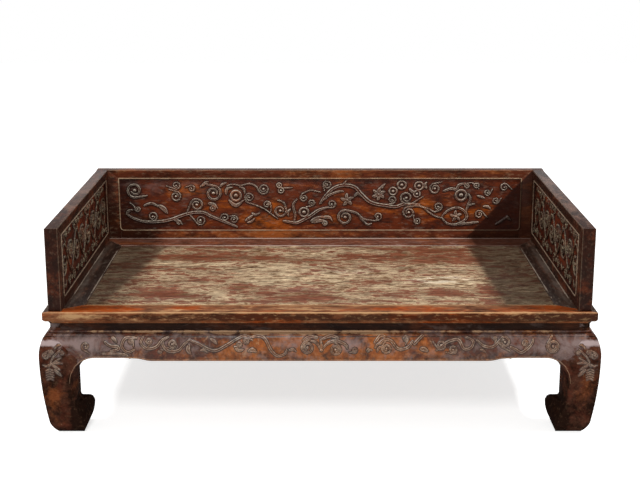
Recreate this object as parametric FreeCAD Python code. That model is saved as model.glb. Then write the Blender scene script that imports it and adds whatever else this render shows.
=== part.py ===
"""Luohan daybed: a low couch-bed with a waisted base, bulging aprons, horse-hoof
legs, a boarded seat and three framed railings that lift off.

Millimetres. X runs along the bed, Y from the front edge to the back, Z up. The
origin is on the floor, below the centre of the seat.
"""
import FreeCAD, Part
import math
import os

os.makedirs("parts", exist_ok=True)

Vec = FreeCAD.Vector
UP = Vec(0, 0, 1)
ALONG = Vec(1, 0, 0)
BACKWARD = Vec(0, 1, 0)
ORIGIN = Vec(0, 0, 0)

# Fits that serve the whole bed
joint_clearance = 0.3
cut_overrun = 1.0

# Seat frame: four mitred rails with a moulded outer edge
seat_length = 2000.0
seat_depth = 1168.0
seat_height = 470.0
seat_thickness = 46.0
front_rail_width = 97.0
back_rail_width = 202.0
end_rail_width = 140.0
arris_ease = 2.5
edge_band = 29.0
moulding_quirk = 2.0
moulding_reach = 21.0
moulding_drop = 15.0
moulding_turn_share = 0.45
moulding_bow_share = 0.66
corner_tenon_thickness = 8.0
corner_tenon_lift = 22.0
corner_tenon_stop = 60.0
corner_tenon_centre_share = 0.72
corner_tenon_width_share = 0.27

# Seat boards: tongued into the frame and into each other
board_thickness = 16.0
board_sink = 1.5
board_corner_radius = 18.0
tongue_thickness = 5.0
tongue_length = 9.0
tongue_lift = 6.5
board_tongue_length = 7.0
board_width_shares = (0.19, 0.19, 0.24, 0.19, 0.19)

# Battens: dovetailed across the underside of the boards
batten_width = 36.0
batten_depth = 26.0
batten_neck = 28.0
batten_key_width = 34.0
batten_key_depth = 5.0
batten_tenon_width = 20.0
batten_tenon_height = 14.0
batten_tenon_length = 25.0
batten_tenon_drop = 8.0
batten_place_shares = (-0.6, -0.2, 0.2, 0.6)

# Waist: a narrow strip set back between the seat frame and the apron
waist_inset = 23.0
waist_height = 27.0
waist_thickness = 14.0
waist_post = 60.0
waist_tongue = 5.0
waist_tongue_inset = 4.5

# Apron: a bulging board, mitred to the leg and hung on a dovetail pin
apron_back = 40.0
apron_bead_height = 8.5
apron_bead_reach = 6.0
apron_bead_return = 4.5
apron_bead_bow_share = 0.45
apron_depth_middle = 105.0
apron_depth_ends = 93.5
apron_bevel_rise = 50.0
apron_bevel_width = 22.0
apron_step_start = 312.0
apron_step_length = 83.0
apron_cusp = 3.0
apron_cusp_length = 13.0
cusp_hook_share = 0.6
cusp_bow_share = 0.125
pin_centre = 90.0
pin_neck = 12.0
pin_head = 18.0
pin_reach = 10.0
pin_height = 45.0
pin_top_gap = 9.0

# Leg: cut from a square blank, swelling at the shoulder and curling into a hoof
leg_bulge = 18.0
leg_blank = 168.0
bulge_drop = 92.0
shoulder_rise = 67.0
shoulder_set = 14.5
foot_rise = 56.0
foot_set = 22.0
toe_set = 52.0
leg_core = 107.0
leg_tenon_thickness = 12.0
leg_tenon_width = 24.0
leg_tenon_height = 20.0

# Inner side of the leg: distances in from the bed's edge, heights above the floor and
# drops below the apron's end. The ankle is a narrow neck between the round corner below
# the apron and the hoof, whose toe curls in.
ankle_set = 96.6
ankle_low_drop = 122.5
ankle_high_drop = 105.5
corner_run = 190.0
elbow_set = 109.5
elbow_drop = 49.5
heel_set = 127.0
heel_rise = 69.0
curl_set = 150.0
curl_rise = 80.0
curl_foot_set = 141.0
curl_foot_rise = 31.0
curl_crest_set = 128.0
curl_crest_rise = 110.0
curl_neck_run = 10.0

# Railings: three mitred frames around floating panels
railing_height = 307.0
railing_thickness = 48.0
side_inset = 20.0
rear_inset = 14.0
front_inset = 13.0
top_rail_height = 40.0
bottom_rail_height = 38.0
back_stile_width = 98.0
front_stile_width = 66.0
rear_stile_width = 52.0
panel_recess = 9.0
panel_thickness = 20.0
panel_tongue_thickness = 10.0
panel_tongue_length = 8.0
panel_gap = 0.5
rail_tenon_thickness = 12.0
rail_tenon_height = 16.0
rail_tenon_length = 22.0
rail_tenon_inset = 18.0
mitre_tenon_length = 42.0
foot_tenon_thickness = 14.0
foot_tenon_width = 28.0
foot_tenon_depth = 22.0
rear_tenon_setback = 14.0
middle_tenon_share = 0.34

# Dovetail keys that hook the side railings to the back railing
key_neck = 12.0
key_head = 18.0
key_reach = 11.0
key_root_width = 14.0
key_root_depth = 14.0
key_height = 40.0
key_low_lift = 45.0
key_high_lift = 190.0

# Heights and faces that follow from the sizes above
half_length = seat_length / 2
half_depth = seat_depth / 2
frame_bottom = seat_height - seat_thickness
apron_top = frame_bottom - waist_height
apron_low = apron_top - apron_depth_middle
apron_end_low = apron_top - apron_depth_ends
mitre_sum = waist_inset + apron_top
bulge_height = apron_top - bulge_drop
ankle_low = apron_end_low - ankle_low_drop
ankle_high = apron_end_low - ankle_high_drop
board_top = seat_height - board_sink
board_bottom = board_top - board_thickness
opening_front = -half_depth + front_rail_width
opening_back = half_depth - back_rail_width
opening_half_length = half_length - end_rail_width
railing_top = seat_height + railing_height
back_face = half_depth - rear_inset - railing_thickness
back_length = seat_length - 2 * side_inset
side_length = seat_depth - front_inset - rear_inset - railing_thickness - joint_clearance


def box(low, high):
    """Box between two opposite corners."""
    return Part.makeBox(high[0] - low[0], high[1] - low[1], high[2] - low[2], Vec(*low))


def prism(points, direction):
    """Straight prism over a closed outline of points."""
    wire = Part.makePolygon([Vec(*p) for p in points] + [Vec(*points[0])])
    return Part.Face(wire).extrude(direction)


def line(start, end):
    """Straight edge between two points."""
    return Part.LineSegment(start, end).toShape()


def arc(start, through, end):
    """Circular edge through three points."""
    return Part.Arc(start, through, end).toShape()


def tangent_arc(start, heading, end):
    """Arc from a point along a heading to another point, with its heading at the end."""
    chord = end - start
    half = chord.Length / 2
    turn = heading.getAngle(chord)
    along = chord.normalize()
    side = heading - along * heading.dot(along)
    side.normalize()
    middle = start + along * half + side * (half * math.tan(turn / 2))
    final = along * (2 * heading.dot(along)) - heading
    return arc(start, middle, end), final


def swept(edges, low, high, lean=0):
    """Solid swept along Y between two depths from a closed chain of edges drawn at Y = 0.

    With a lean, the section moves in along X by that much for each unit of depth.
    """
    face = Part.Face(Part.Wire(edges))
    face.translate(Vec(lean, 1, 0) * low)
    return face.extrude(Vec(lean, 1, 0) * (high - low))


def swapped(shape):
    """The same shape with X and Y exchanged: a mirror in the corner's diagonal."""
    return shape.mirror(ORIGIN, Vec(1, -1, 0))


def placed(shape, x_sign, y_sign):
    """A corner piece, drawn from the front left corner inwards, put at any corner."""
    result = shape.copy()
    if x_sign > 0:
        result = result.mirror(ORIGIN, ALONG)
    if y_sign > 0:
        result = result.mirror(ORIGIN, BACKWARD)
    result.translate(Vec(x_sign * half_length, y_sign * half_depth, 0))
    return result


CORNERS = {
    "front_left": (-1, -1),
    "front_right": (1, -1),
    "back_left": (-1, 1),
    "back_right": (1, 1),
}


# Seat frame

def edge_profile(half, sign):
    """Moulded edge from the top face down to the underside, at one side of the frame."""
    def at(inset, drop):
        return Vec(0, sign * (half - inset), seat_height - drop)

    low = edge_band + moulding_drop
    middle = edge_band + moulding_drop / 2
    turn = moulding_quirk + (moulding_reach - moulding_quirk) * moulding_turn_share
    convex = at(
        moulding_quirk + (turn - moulding_quirk) * (1 - moulding_bow_share),
        edge_band + (middle - edge_band) * moulding_bow_share,
    )
    concave = at(
        turn + (moulding_reach - turn) * moulding_bow_share,
        middle + (low - middle) * (1 - moulding_bow_share),
    )
    return [
        line(at(arris_ease, 0), at(0, arris_ease)),
        line(at(0, arris_ease), at(0, edge_band)),
        line(at(0, edge_band), at(moulding_quirk, edge_band)),
        arc(at(moulding_quirk, edge_band), convex, at(turn, middle)),
        arc(at(turn, middle), concave, at(moulding_reach, low)),
        line(at(moulding_reach, low), at(moulding_reach, seat_thickness)),
    ]


def moulded_slab(half, run):
    """Plate with a moulded edge at both sides, swept along X over the given run."""
    left = edge_profile(half, -1)
    right = edge_profile(half, 1)
    top = line(Vec(0, half - arris_ease, seat_height), Vec(0, arris_ease - half, seat_height))
    low_left = Vec(0, moulding_reach - half, frame_bottom)
    low_right = Vec(0, half - moulding_reach, frame_bottom)
    edges = left + [line(low_left, low_right)] + right[::-1] + [top]
    slab = Part.Face(Part.Wire(Part.__sortEdges__(edges))).extrude(Vec(2 * run, 0, 0))
    slab.translate(Vec(-run, 0, 0))
    return slab


def rounded_opening(gap):
    """Prism through the seat frame's opening, smaller by a gap, with rounded corners."""
    low = (gap - opening_half_length, opening_front + gap, frame_bottom - cut_overrun)
    high = (opening_half_length - gap, opening_back - gap, seat_height + cut_overrun)
    solid = box(low, high)
    uprights = [e for e in solid.Edges if abs(e.Vertexes[0].Z - e.Vertexes[1].Z) > cut_overrun]
    return solid.makeFillet(board_corner_radius - gap, uprights)


def frame_groove():
    """Groove round the opening that takes the tongues of the seat boards."""
    reach = tongue_length + joint_clearance
    low = (-opening_half_length - reach, opening_front - reach, board_bottom + tongue_lift)
    top = board_bottom + tongue_lift + tongue_thickness
    return box(low, (opening_half_length + reach, opening_back + reach, top))


def waist_tongue_boxes(gap):
    """Tongues on top of the four waist strips, grown by a gap for the frame's grooves."""
    return [waist_tongue_box(side, frame_bottom, frame_bottom + waist_tongue, gap) for side in SIDES]


def corner_tenon(x_sign, y_sign, gap):
    """Tenon at the end of a long rail, which enters the end rail across the mitre."""
    width = front_rail_width if y_sign < 0 else back_rail_width
    centre = width * corner_tenon_centre_share
    half = width * corner_tenon_width_share / 2
    reach = end_rail_width * (centre + half) / width
    base = frame_bottom + corner_tenon_lift
    tenon = box(
        (corner_tenon_stop - gap, centre - half - gap, base - gap),
        (reach, centre + half + gap, base + corner_tenon_thickness + gap),
    )
    return placed(tenon, x_sign, y_sign)


def leg_tenon_boxes(gap):
    """The two tenons on a leg's top, in the corner's own frame, grown by a gap."""
    low_side = leg_core - leg_tenon_width
    top = frame_bottom + leg_tenon_height + gap
    first = box(
        (low_side - gap, apron_back - gap, frame_bottom),
        (leg_core + gap, apron_back + leg_tenon_thickness + gap, top),
    )
    return [first, swapped(first)]


def seat_frame():
    """The four rails of the seat frame, split along the mitres."""
    slab = moulded_slab(half_depth, half_length)
    across = swapped(moulded_slab(half_length, half_depth))
    slab = slab.common(across)
    cuts = [rounded_opening(0), frame_groove()]
    cuts += waist_tongue_boxes(joint_clearance)
    for x_sign, y_sign in CORNERS.values():
        cuts += [placed(t, x_sign, y_sign) for t in leg_tenon_boxes(joint_clearance)]
    cuts += railing_mortises()
    cuts += batten_mortises()
    slab = slab.cut(cuts)

    rails = {}
    for name, y_sign, y_inner in (("front", -1, opening_front), ("back", 1, opening_back)):
        y_outer = y_sign * half_depth
        wedge = rail_wedge([
            (-half_length, y_outer), (half_length, y_outer),
            (opening_half_length, y_inner), (-opening_half_length, y_inner),
        ])
        tenons = [corner_tenon(x_sign, y_sign, 0) for x_sign in (-1, 1)]
        rails[name] = slab.common(wedge).fuse(tenons).removeSplitter()
    for name, x_sign in (("left", -1), ("right", 1)):
        x_outer = x_sign * half_length
        x_inner = x_sign * opening_half_length
        wedge = rail_wedge([
            (x_outer, -half_depth), (x_inner, opening_front),
            (x_inner, opening_back), (x_outer, half_depth),
        ])
        holes = [corner_tenon(x_sign, y_sign, joint_clearance) for y_sign in (-1, 1)]
        rails[name] = slab.common(wedge).cut(holes)
    return {"seat_%s_rail" % name: solid for name, solid in rails.items()}


def rail_wedge(plan):
    """Prism over a rail's mitred plan, a little taller than the frame."""
    low = frame_bottom - cut_overrun
    return prism([(x, y, low) for x, y in plan], Vec(0, 0, seat_thickness + 2 * cut_overrun))


# Seat boards and battens

def batten_key(x, gap):
    """Dovetailed upper edge of a batten, grown by a gap for its housing."""
    neck = batten_neck / 2 + gap
    head = batten_key_width / 2 + gap
    top = board_bottom + batten_key_depth + gap
    section = [
        (x - neck, opening_front, board_bottom), (x + neck, opening_front, board_bottom),
        (x + head, opening_front, top), (x - head, opening_front, top),
    ]
    return prism(section, Vec(0, opening_back - opening_front, 0))


def batten_tenon(x, y_sign, gap):
    """Tenon at a batten's end, let into the front or back rail."""
    top = board_bottom - batten_tenon_drop
    shoulder = opening_front if y_sign < 0 else opening_back
    near, far = sorted((shoulder, shoulder + y_sign * (batten_tenon_length + gap)))
    low = (x - batten_tenon_width / 2 - gap, near, top - batten_tenon_height - gap)
    high = (x + batten_tenon_width / 2 + gap, far, top + gap)
    return box(low, high)


def batten_places():
    """Centre lines of the battens along the bed."""
    return [share * opening_half_length for share in batten_place_shares]


def batten_mortises():
    """Mortises in the long rails for the ends of the battens."""
    return [batten_tenon(x, y_sign, joint_clearance) for x in batten_places() for y_sign in (-1, 1)]


def seat_battens():
    """Dovetailed battens that keep the boards flat."""
    battens = {}
    for number, x in enumerate(batten_places(), 1):
        half = batten_width / 2
        low = (x - half, opening_front, board_bottom - batten_depth)
        body = box(low, (x + half, opening_back, board_bottom))
        parts = [batten_key(x, 0), batten_tenon(x, -1, 0), batten_tenon(x, 1, 0)]
        battens["seat_batten_%d" % number] = body.fuse(parts).removeSplitter()
    return battens


def seat_boards():
    """Boards laid along the bed, tongued into the frame all round and into each other."""
    field = rounded_opening(joint_clearance)
    level = box(
        (-half_length, -half_depth, board_bottom),
        (half_length, half_depth, board_top),
    )
    base = board_bottom + tongue_lift
    rim = box(
        (-opening_half_length - tongue_length, opening_front - tongue_length, base + joint_clearance / 2),
        (opening_half_length + tongue_length, opening_back + tongue_length,
         base + tongue_thickness - joint_clearance / 2),
    )
    housings = [batten_key(x, joint_clearance) for x in batten_places()]
    sheet = field.common(level).fuse(rim).removeSplitter().cut(housings)
    boards = {}
    width = opening_back - opening_front
    start = opening_front
    last = len(board_width_shares)
    for number, share in enumerate(board_width_shares, 1):
        end = start + share * width
        low = start - (tongue_length + cut_overrun if number == 1 else 0)
        high = end + (tongue_length + cut_overrun if number == last else 0)
        board = sheet.common(box((-half_length, low, board_bottom), (half_length, high, board_top)))
        if number > 1:
            board = board.cut(board_tongue(start, joint_clearance / 2))
        if number < last:
            board = board.fuse(board_tongue(end, 0)).removeSplitter()
        boards["seat_board_%d" % number] = board
        start = end
    return boards


def board_tongue(joint, gap):
    """Tongue along a joint between two boards, grown by a gap for its groove."""
    base = board_bottom + tongue_lift
    half = opening_half_length - board_corner_radius
    low = (-half - gap, joint, base - gap)
    high = (half + gap, joint + board_tongue_length + gap, base + tongue_thickness + gap)
    return box(low, high)


# Waist strips. A side is given by its name: front, back, left or right.

SIDES = ("front", "back", "left", "right")


def to_side(shape, side):
    """A piece drawn for the front, from the front left corner, carried to its side."""
    if side in ("front", "back"):
        return placed(shape, -1, -1 if side == "front" else 1)
    return placed(swapped(shape), -1 if side == "left" else 1, -1)


def side_run(side):
    """Length of the bed along one side."""
    return seat_length if side in ("front", "back") else seat_depth


def waist_tongue_box(side, low, high, gap):
    """One tongue of a waist strip between two heights, grown by a gap sideways and at its tip."""
    inset = waist_inset + waist_tongue_inset
    run = side_run(side)
    tip_low = low - (gap if high == apron_top else 0)
    tip_high = high + (gap if low == frame_bottom else 0)
    tongue = box(
        (waist_post - gap, inset - gap, tip_low),
        (run - waist_post + gap, inset + waist_tongue + gap, tip_high),
    )
    return to_side(tongue, side)


def waist_end_tongues(run, gap):
    """Short tongues at a strip's two ends, let into the legs."""
    inset = waist_inset + waist_tongue_inset
    first = box(
        (waist_post - waist_tongue - gap, inset - gap, apron_top - gap),
        (waist_post, inset + waist_tongue + gap, frame_bottom),
    )
    return [first, first.mirror(Vec(run / 2, 0, 0), ALONG)]


def waist_strips():
    """Four strips that fill the waist between the legs' posts."""
    strips = {}
    for side in SIDES:
        run = side_run(side)
        body = box(
            (waist_post, waist_inset, apron_top),
            (run - waist_post, waist_inset + waist_thickness, frame_bottom),
        )
        body = to_side(body.fuse(waist_end_tongues(run, 0)), side)
        upper = waist_tongue_box(side, frame_bottom, frame_bottom + waist_tongue, 0)
        lower = waist_tongue_box(side, apron_top - waist_tongue, apron_top, 0)
        strips["waist_%s" % side] = body.fuse([upper, lower]).removeSplitter()
    return strips


# Aprons and legs share one outer curve, drawn in the corner's own frame: X is the
# distance in from the bed's side edge, and Z the height.

def bead_edge():
    """Half-round bead along the top of apron and leg, from the waist down to its quirk."""
    start = Vec(waist_inset, 0, apron_top)
    bow_drop = apron_bead_height * apron_bead_bow_share
    through = Vec(waist_inset - apron_bead_reach, 0, apron_top - bow_drop)
    return arc(start, through, shoulder_start())


def shoulder_start():
    """The quirk below the bead, where the shoulder's curve begins."""
    return Vec(waist_inset - apron_bead_return, 0, apron_top - apron_bead_height)


def outer_edges():
    """Outer edge of leg and apron from the quirk down: shoulder, bulge, shin and foot."""
    widest = Vec(-leg_bulge, 0, bulge_height)
    turn = widest + Vec(shoulder_set, 0, shoulder_rise)
    shin = Vec(foot_set - leg_bulge, 0, foot_rise)
    toe = Vec(toe_set - leg_bulge, 0, 0)
    bulge, heading = tangent_arc(widest, UP, turn)
    shoulder, heading = tangent_arc(turn, heading, shoulder_start())
    shank, heading = tangent_arc(widest, -UP, shin)
    foot, heading = tangent_arc(shin, heading, toe)
    return [shoulder, bulge, shank, foot], toe


def inner_lean():
    """How far the leg's inner side moves in for each unit of depth, from face to core."""
    return (leg_core - ankle_set) / apron_back


def corner_edges():
    """Round inner corner, from below the apron down to the ankle."""
    end = Vec(corner_run, 0, apron_end_low)
    elbow = Vec(elbow_set, 0, apron_end_low - elbow_drop)
    upper, heading = tangent_arc(end, -ALONG, elbow)
    lower, heading = tangent_arc(elbow, heading, Vec(ankle_set, 0, ankle_high))
    return [upper, lower]


def face_side():
    """The leg sawn to the inner outline of its face, leaning in towards the core."""
    ankle = Vec(ankle_set, 0, ankle_low)
    heel = Vec(heel_set, 0, 0)
    neck = heel + (ankle - heel) * (heel_rise / ankle_low)
    lower, heading = tangent_arc(heel, UP, neck)
    upper, heading = tangent_arc(neck, heading, ankle)
    high = Vec(corner_run, 0, apron_top)
    outer_high = Vec(-leg_blank, 0, apron_top)
    outer_low = Vec(-leg_blank, 0, 0)
    edges = [lower, upper, line(ankle, Vec(ankle_set, 0, ankle_high))]
    edges += corner_edges()[::-1]
    edges += [
        line(Vec(corner_run, 0, apron_end_low), high),
        line(high, outer_high),
        line(outer_high, outer_low),
        line(outer_low, heel),
    ]
    return swept(edges, -leg_blank, leg_blank, inner_lean())


def curl_side():
    """The leg sawn to the outline of its core, with the toe that curls in at the foot."""
    heel = Vec(heel_set, 0, 0)
    low = Vec(curl_foot_set, 0, curl_foot_rise)
    tip = Vec(curl_set, 0, curl_rise)
    crest = Vec(curl_crest_set, 0, curl_crest_rise)
    under, heading = tangent_arc(tip, -UP, low)
    over, heading = tangent_arc(tip, UP, crest)
    neck = crest + heading.normalize() * curl_neck_run
    half_turn = heading.getAngle(UP) / 2
    ankle = Vec(leg_core, 0, neck.z + (neck.x - leg_core) / math.tan(half_turn))
    hollow, heading = tangent_arc(neck, heading, ankle)
    high = Vec(leg_core, 0, apron_top)
    outer_high = Vec(-leg_blank, 0, apron_top)
    outer_low = Vec(-leg_blank, 0, 0)
    edges = [
        line(heel, low),
        under,
        over,
        line(crest, neck),
        hollow,
        line(ankle, high),
        line(high, outer_high),
        line(outer_high, outer_low),
        line(outer_low, heel),
    ]
    return swept(edges, -leg_blank, leg_blank), ankle.z


def sawn_inside():
    """The leg sawn on its inner side only: face, core and curled toe."""
    core, neck_height = curl_side()
    shoulder = box((leg_core, -leg_blank, neck_height), (corner_run, apron_back, apron_top))
    return face_side().common(core.fuse(shoulder))


def sawn_outside():
    """Block with the leg's outer curve on one side, wide enough for the whole blank."""
    edges, toe = outer_edges()
    far = 2 * leg_blank
    start = Vec(waist_inset, 0, apron_top)
    low_corner = Vec(far, 0, 0)
    high_corner = Vec(far, 0, apron_top)
    closing = [line(toe, low_corner), line(low_corner, high_corner), line(high_corner, start)]
    return swept([bead_edge()] + edges + closing, -far, far)


def apron_seat():
    """Room that the front apron takes up in front of the leg's core, beyond the mitre."""
    far = 2 * leg_blank
    low = apron_low - leg_blank
    high = apron_top + cut_overrun
    outline = [(mitre_sum - high, 0, high), (far, 0, high), (far, 0, low), (mitre_sum - low, 0, low)]
    seat = prism(outline, Vec(0, apron_back + 2 * leg_blank, 0))
    seat.translate(Vec(0, -2 * leg_blank, 0))
    return seat


def hanging_pin(gap):
    """Dovetail pin on the leg's core that the apron is pushed down over."""
    neck = pin_neck / 2 + gap
    head = pin_head / 2 + gap
    top = apron_top - pin_top_gap + gap
    low = top - pin_height - (leg_blank if gap else 0)
    face = apron_back
    tip = apron_back - pin_reach - gap
    outline = [
        (pin_centre - neck, face, low), (pin_centre + neck, face, low),
        (pin_centre + head, tip, low), (pin_centre - head, tip, low),
    ]
    return prism(outline, Vec(0, 0, top - low))


def leg_shape():
    """One horse-hoof leg in the corner's own frame, with its shoulder, core and tenons."""
    inside = sawn_inside()
    outside = sawn_outside()
    body = inside.common(swapped(inside)).common(outside).common(swapped(outside))
    body = body.cut([apron_seat(), swapped(apron_seat())])
    post = box((waist_inset, waist_inset, apron_top), (waist_post, waist_post, frame_bottom))
    core = box((apron_back, apron_back, apron_top), (leg_core, leg_core, frame_bottom))
    pin = hanging_pin(0)
    body = body.fuse([post, core, pin, swapped(pin)] + leg_tenon_boxes(0)).removeSplitter()
    groove = waist_end_tongues(seat_length, joint_clearance)[0]
    return body.cut([groove, swapped(groove)])


def legs():
    """The four legs, one at each corner."""
    leg = leg_shape()
    return {"leg_%s" % name: placed(leg, *signs) for name, signs in CORNERS.items()}


def corner_space():
    """Open space below the apron's end, round and leaning as the leg's inner side is."""
    end = Vec(corner_run, 0, apron_end_low)
    ankle = Vec(ankle_set, 0, ankle_high)
    high = Vec(apron_step_start - apron_cusp_length, 0, apron_end_low)
    edges = corner_edges()
    edges += [
        line(ankle, Vec(ankle_set, 0, 0)),
        line(Vec(ankle_set, 0, 0), Vec(high.x, 0, 0)),
        line(Vec(high.x, 0, 0), high),
        line(high, end),
    ]
    return swept(edges, -leg_blank, leg_blank, inner_lean())


def middle_space(run):
    """Open space below the apron's middle: a cusp at each end, then a step down."""
    start = Vec(corner_run, 0, apron_end_low)
    cusp_tip = Vec(apron_step_start, 0, apron_end_low - apron_cusp)
    cusp_mouth = Vec(apron_step_start - apron_cusp_length / 2, 0, apron_end_low)
    step_top = Vec(apron_step_start + apron_cusp_length, 0, apron_end_low - apron_cusp / 2)
    step_end = Vec(apron_step_start + apron_step_length, 0, apron_low)
    step_middle = (step_top + step_end) / 2
    upper, heading = tangent_arc(step_top, ALONG, step_middle)
    lower, heading = tangent_arc(step_middle, heading, step_end)
    hook_x = cusp_tip.x + apron_cusp_length * cusp_hook_share / 2
    hook_z = (cusp_tip.z + step_top.z) / 2 + apron_cusp * cusp_bow_share
    middle = Vec(run / 2, 0, apron_low)
    edges = [
        line(start, cusp_mouth),
        line(cusp_mouth, cusp_tip),
        arc(cusp_tip, Vec(hook_x, 0, hook_z), step_top),
        upper,
        lower,
        line(step_end, middle),
        line(middle, Vec(run / 2, 0, 0)),
        line(Vec(run / 2, 0, 0), Vec(corner_run, 0, 0)),
        line(Vec(corner_run, 0, 0), start),
    ]
    return swept(edges, -leg_blank, leg_blank)


def lower_edge(run):
    """Open spaces below an apron, at both its ends."""
    half = [corner_space(), middle_space(run)]
    return half + [space.mirror(Vec(run / 2, 0, 0), ALONG) for space in half]


def apron_section():
    """Section of the apron's blank in the YZ plane: bead, shoulder and bulge, with a flat back."""
    edges, toe = outer_edges()
    start = Vec(waist_inset, 0, apron_top)
    shin = Vec(foot_set - leg_bulge, 0, foot_rise)
    loop = [bead_edge()] + edges[:3]
    loop += [
        line(shin, Vec(apron_back, 0, foot_rise)),
        line(Vec(apron_back, 0, foot_rise), Vec(apron_back, 0, apron_top)),
        line(Vec(apron_back, 0, apron_top), start),
    ]
    return swapped(Part.Face(Part.Wire(loop)))


def apron(side):
    """One apron: bulging front, mitred ends, shaped lower edge and bevelled back."""
    run = side_run(side)
    board = apron_section().extrude(Vec(run, 0, 0))
    far = 2 * leg_blank
    tall = apron_top + cut_overrun
    shoulder = [
        (mitre_sum - tall, 0, tall), (mitre_sum, 0, 0), (-far, 0, 0), (-far, 0, tall),
    ]
    shoulder_cut = prism(shoulder, Vec(0, 2 * far, 0))
    shoulder_cut.translate(Vec(0, -far, 0))
    corner_cut = prism([(-far, -far, 0), (far, far, 0), (-far, far, 0)], Vec(0, 0, tall))
    slot = hanging_pin(joint_clearance)
    ends = [shoulder_cut, corner_cut, slot]
    ends += [c.mirror(Vec(run / 2, 0, 0), ALONG) for c in ends]
    low = apron_low - leg_blank
    bevel_outline = [
        (0, apron_back + cut_overrun, apron_low + apron_bevel_rise),
        (0, apron_back - apron_bevel_width, apron_low),
        (0, apron_back - apron_bevel_width, low),
        (0, apron_back + cut_overrun, low),
    ]
    bevel = prism(bevel_outline, Vec(run - 2 * leg_blank, 0, 0))
    bevel.translate(Vec(leg_blank, 0, 0))
    board = board.cut(ends + lower_edge(run) + [bevel])
    board = to_side(board, side)
    return board.cut(waist_tongue_box(side, apron_top - waist_tongue, apron_top, joint_clearance))


def aprons():
    """The four aprons."""
    return {"apron_%s" % side: apron(side) for side in SIDES}


# Railings, drawn with X along the railing, Y from its carved face to its outer face
# and Z up, and then carried to their places.

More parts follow.
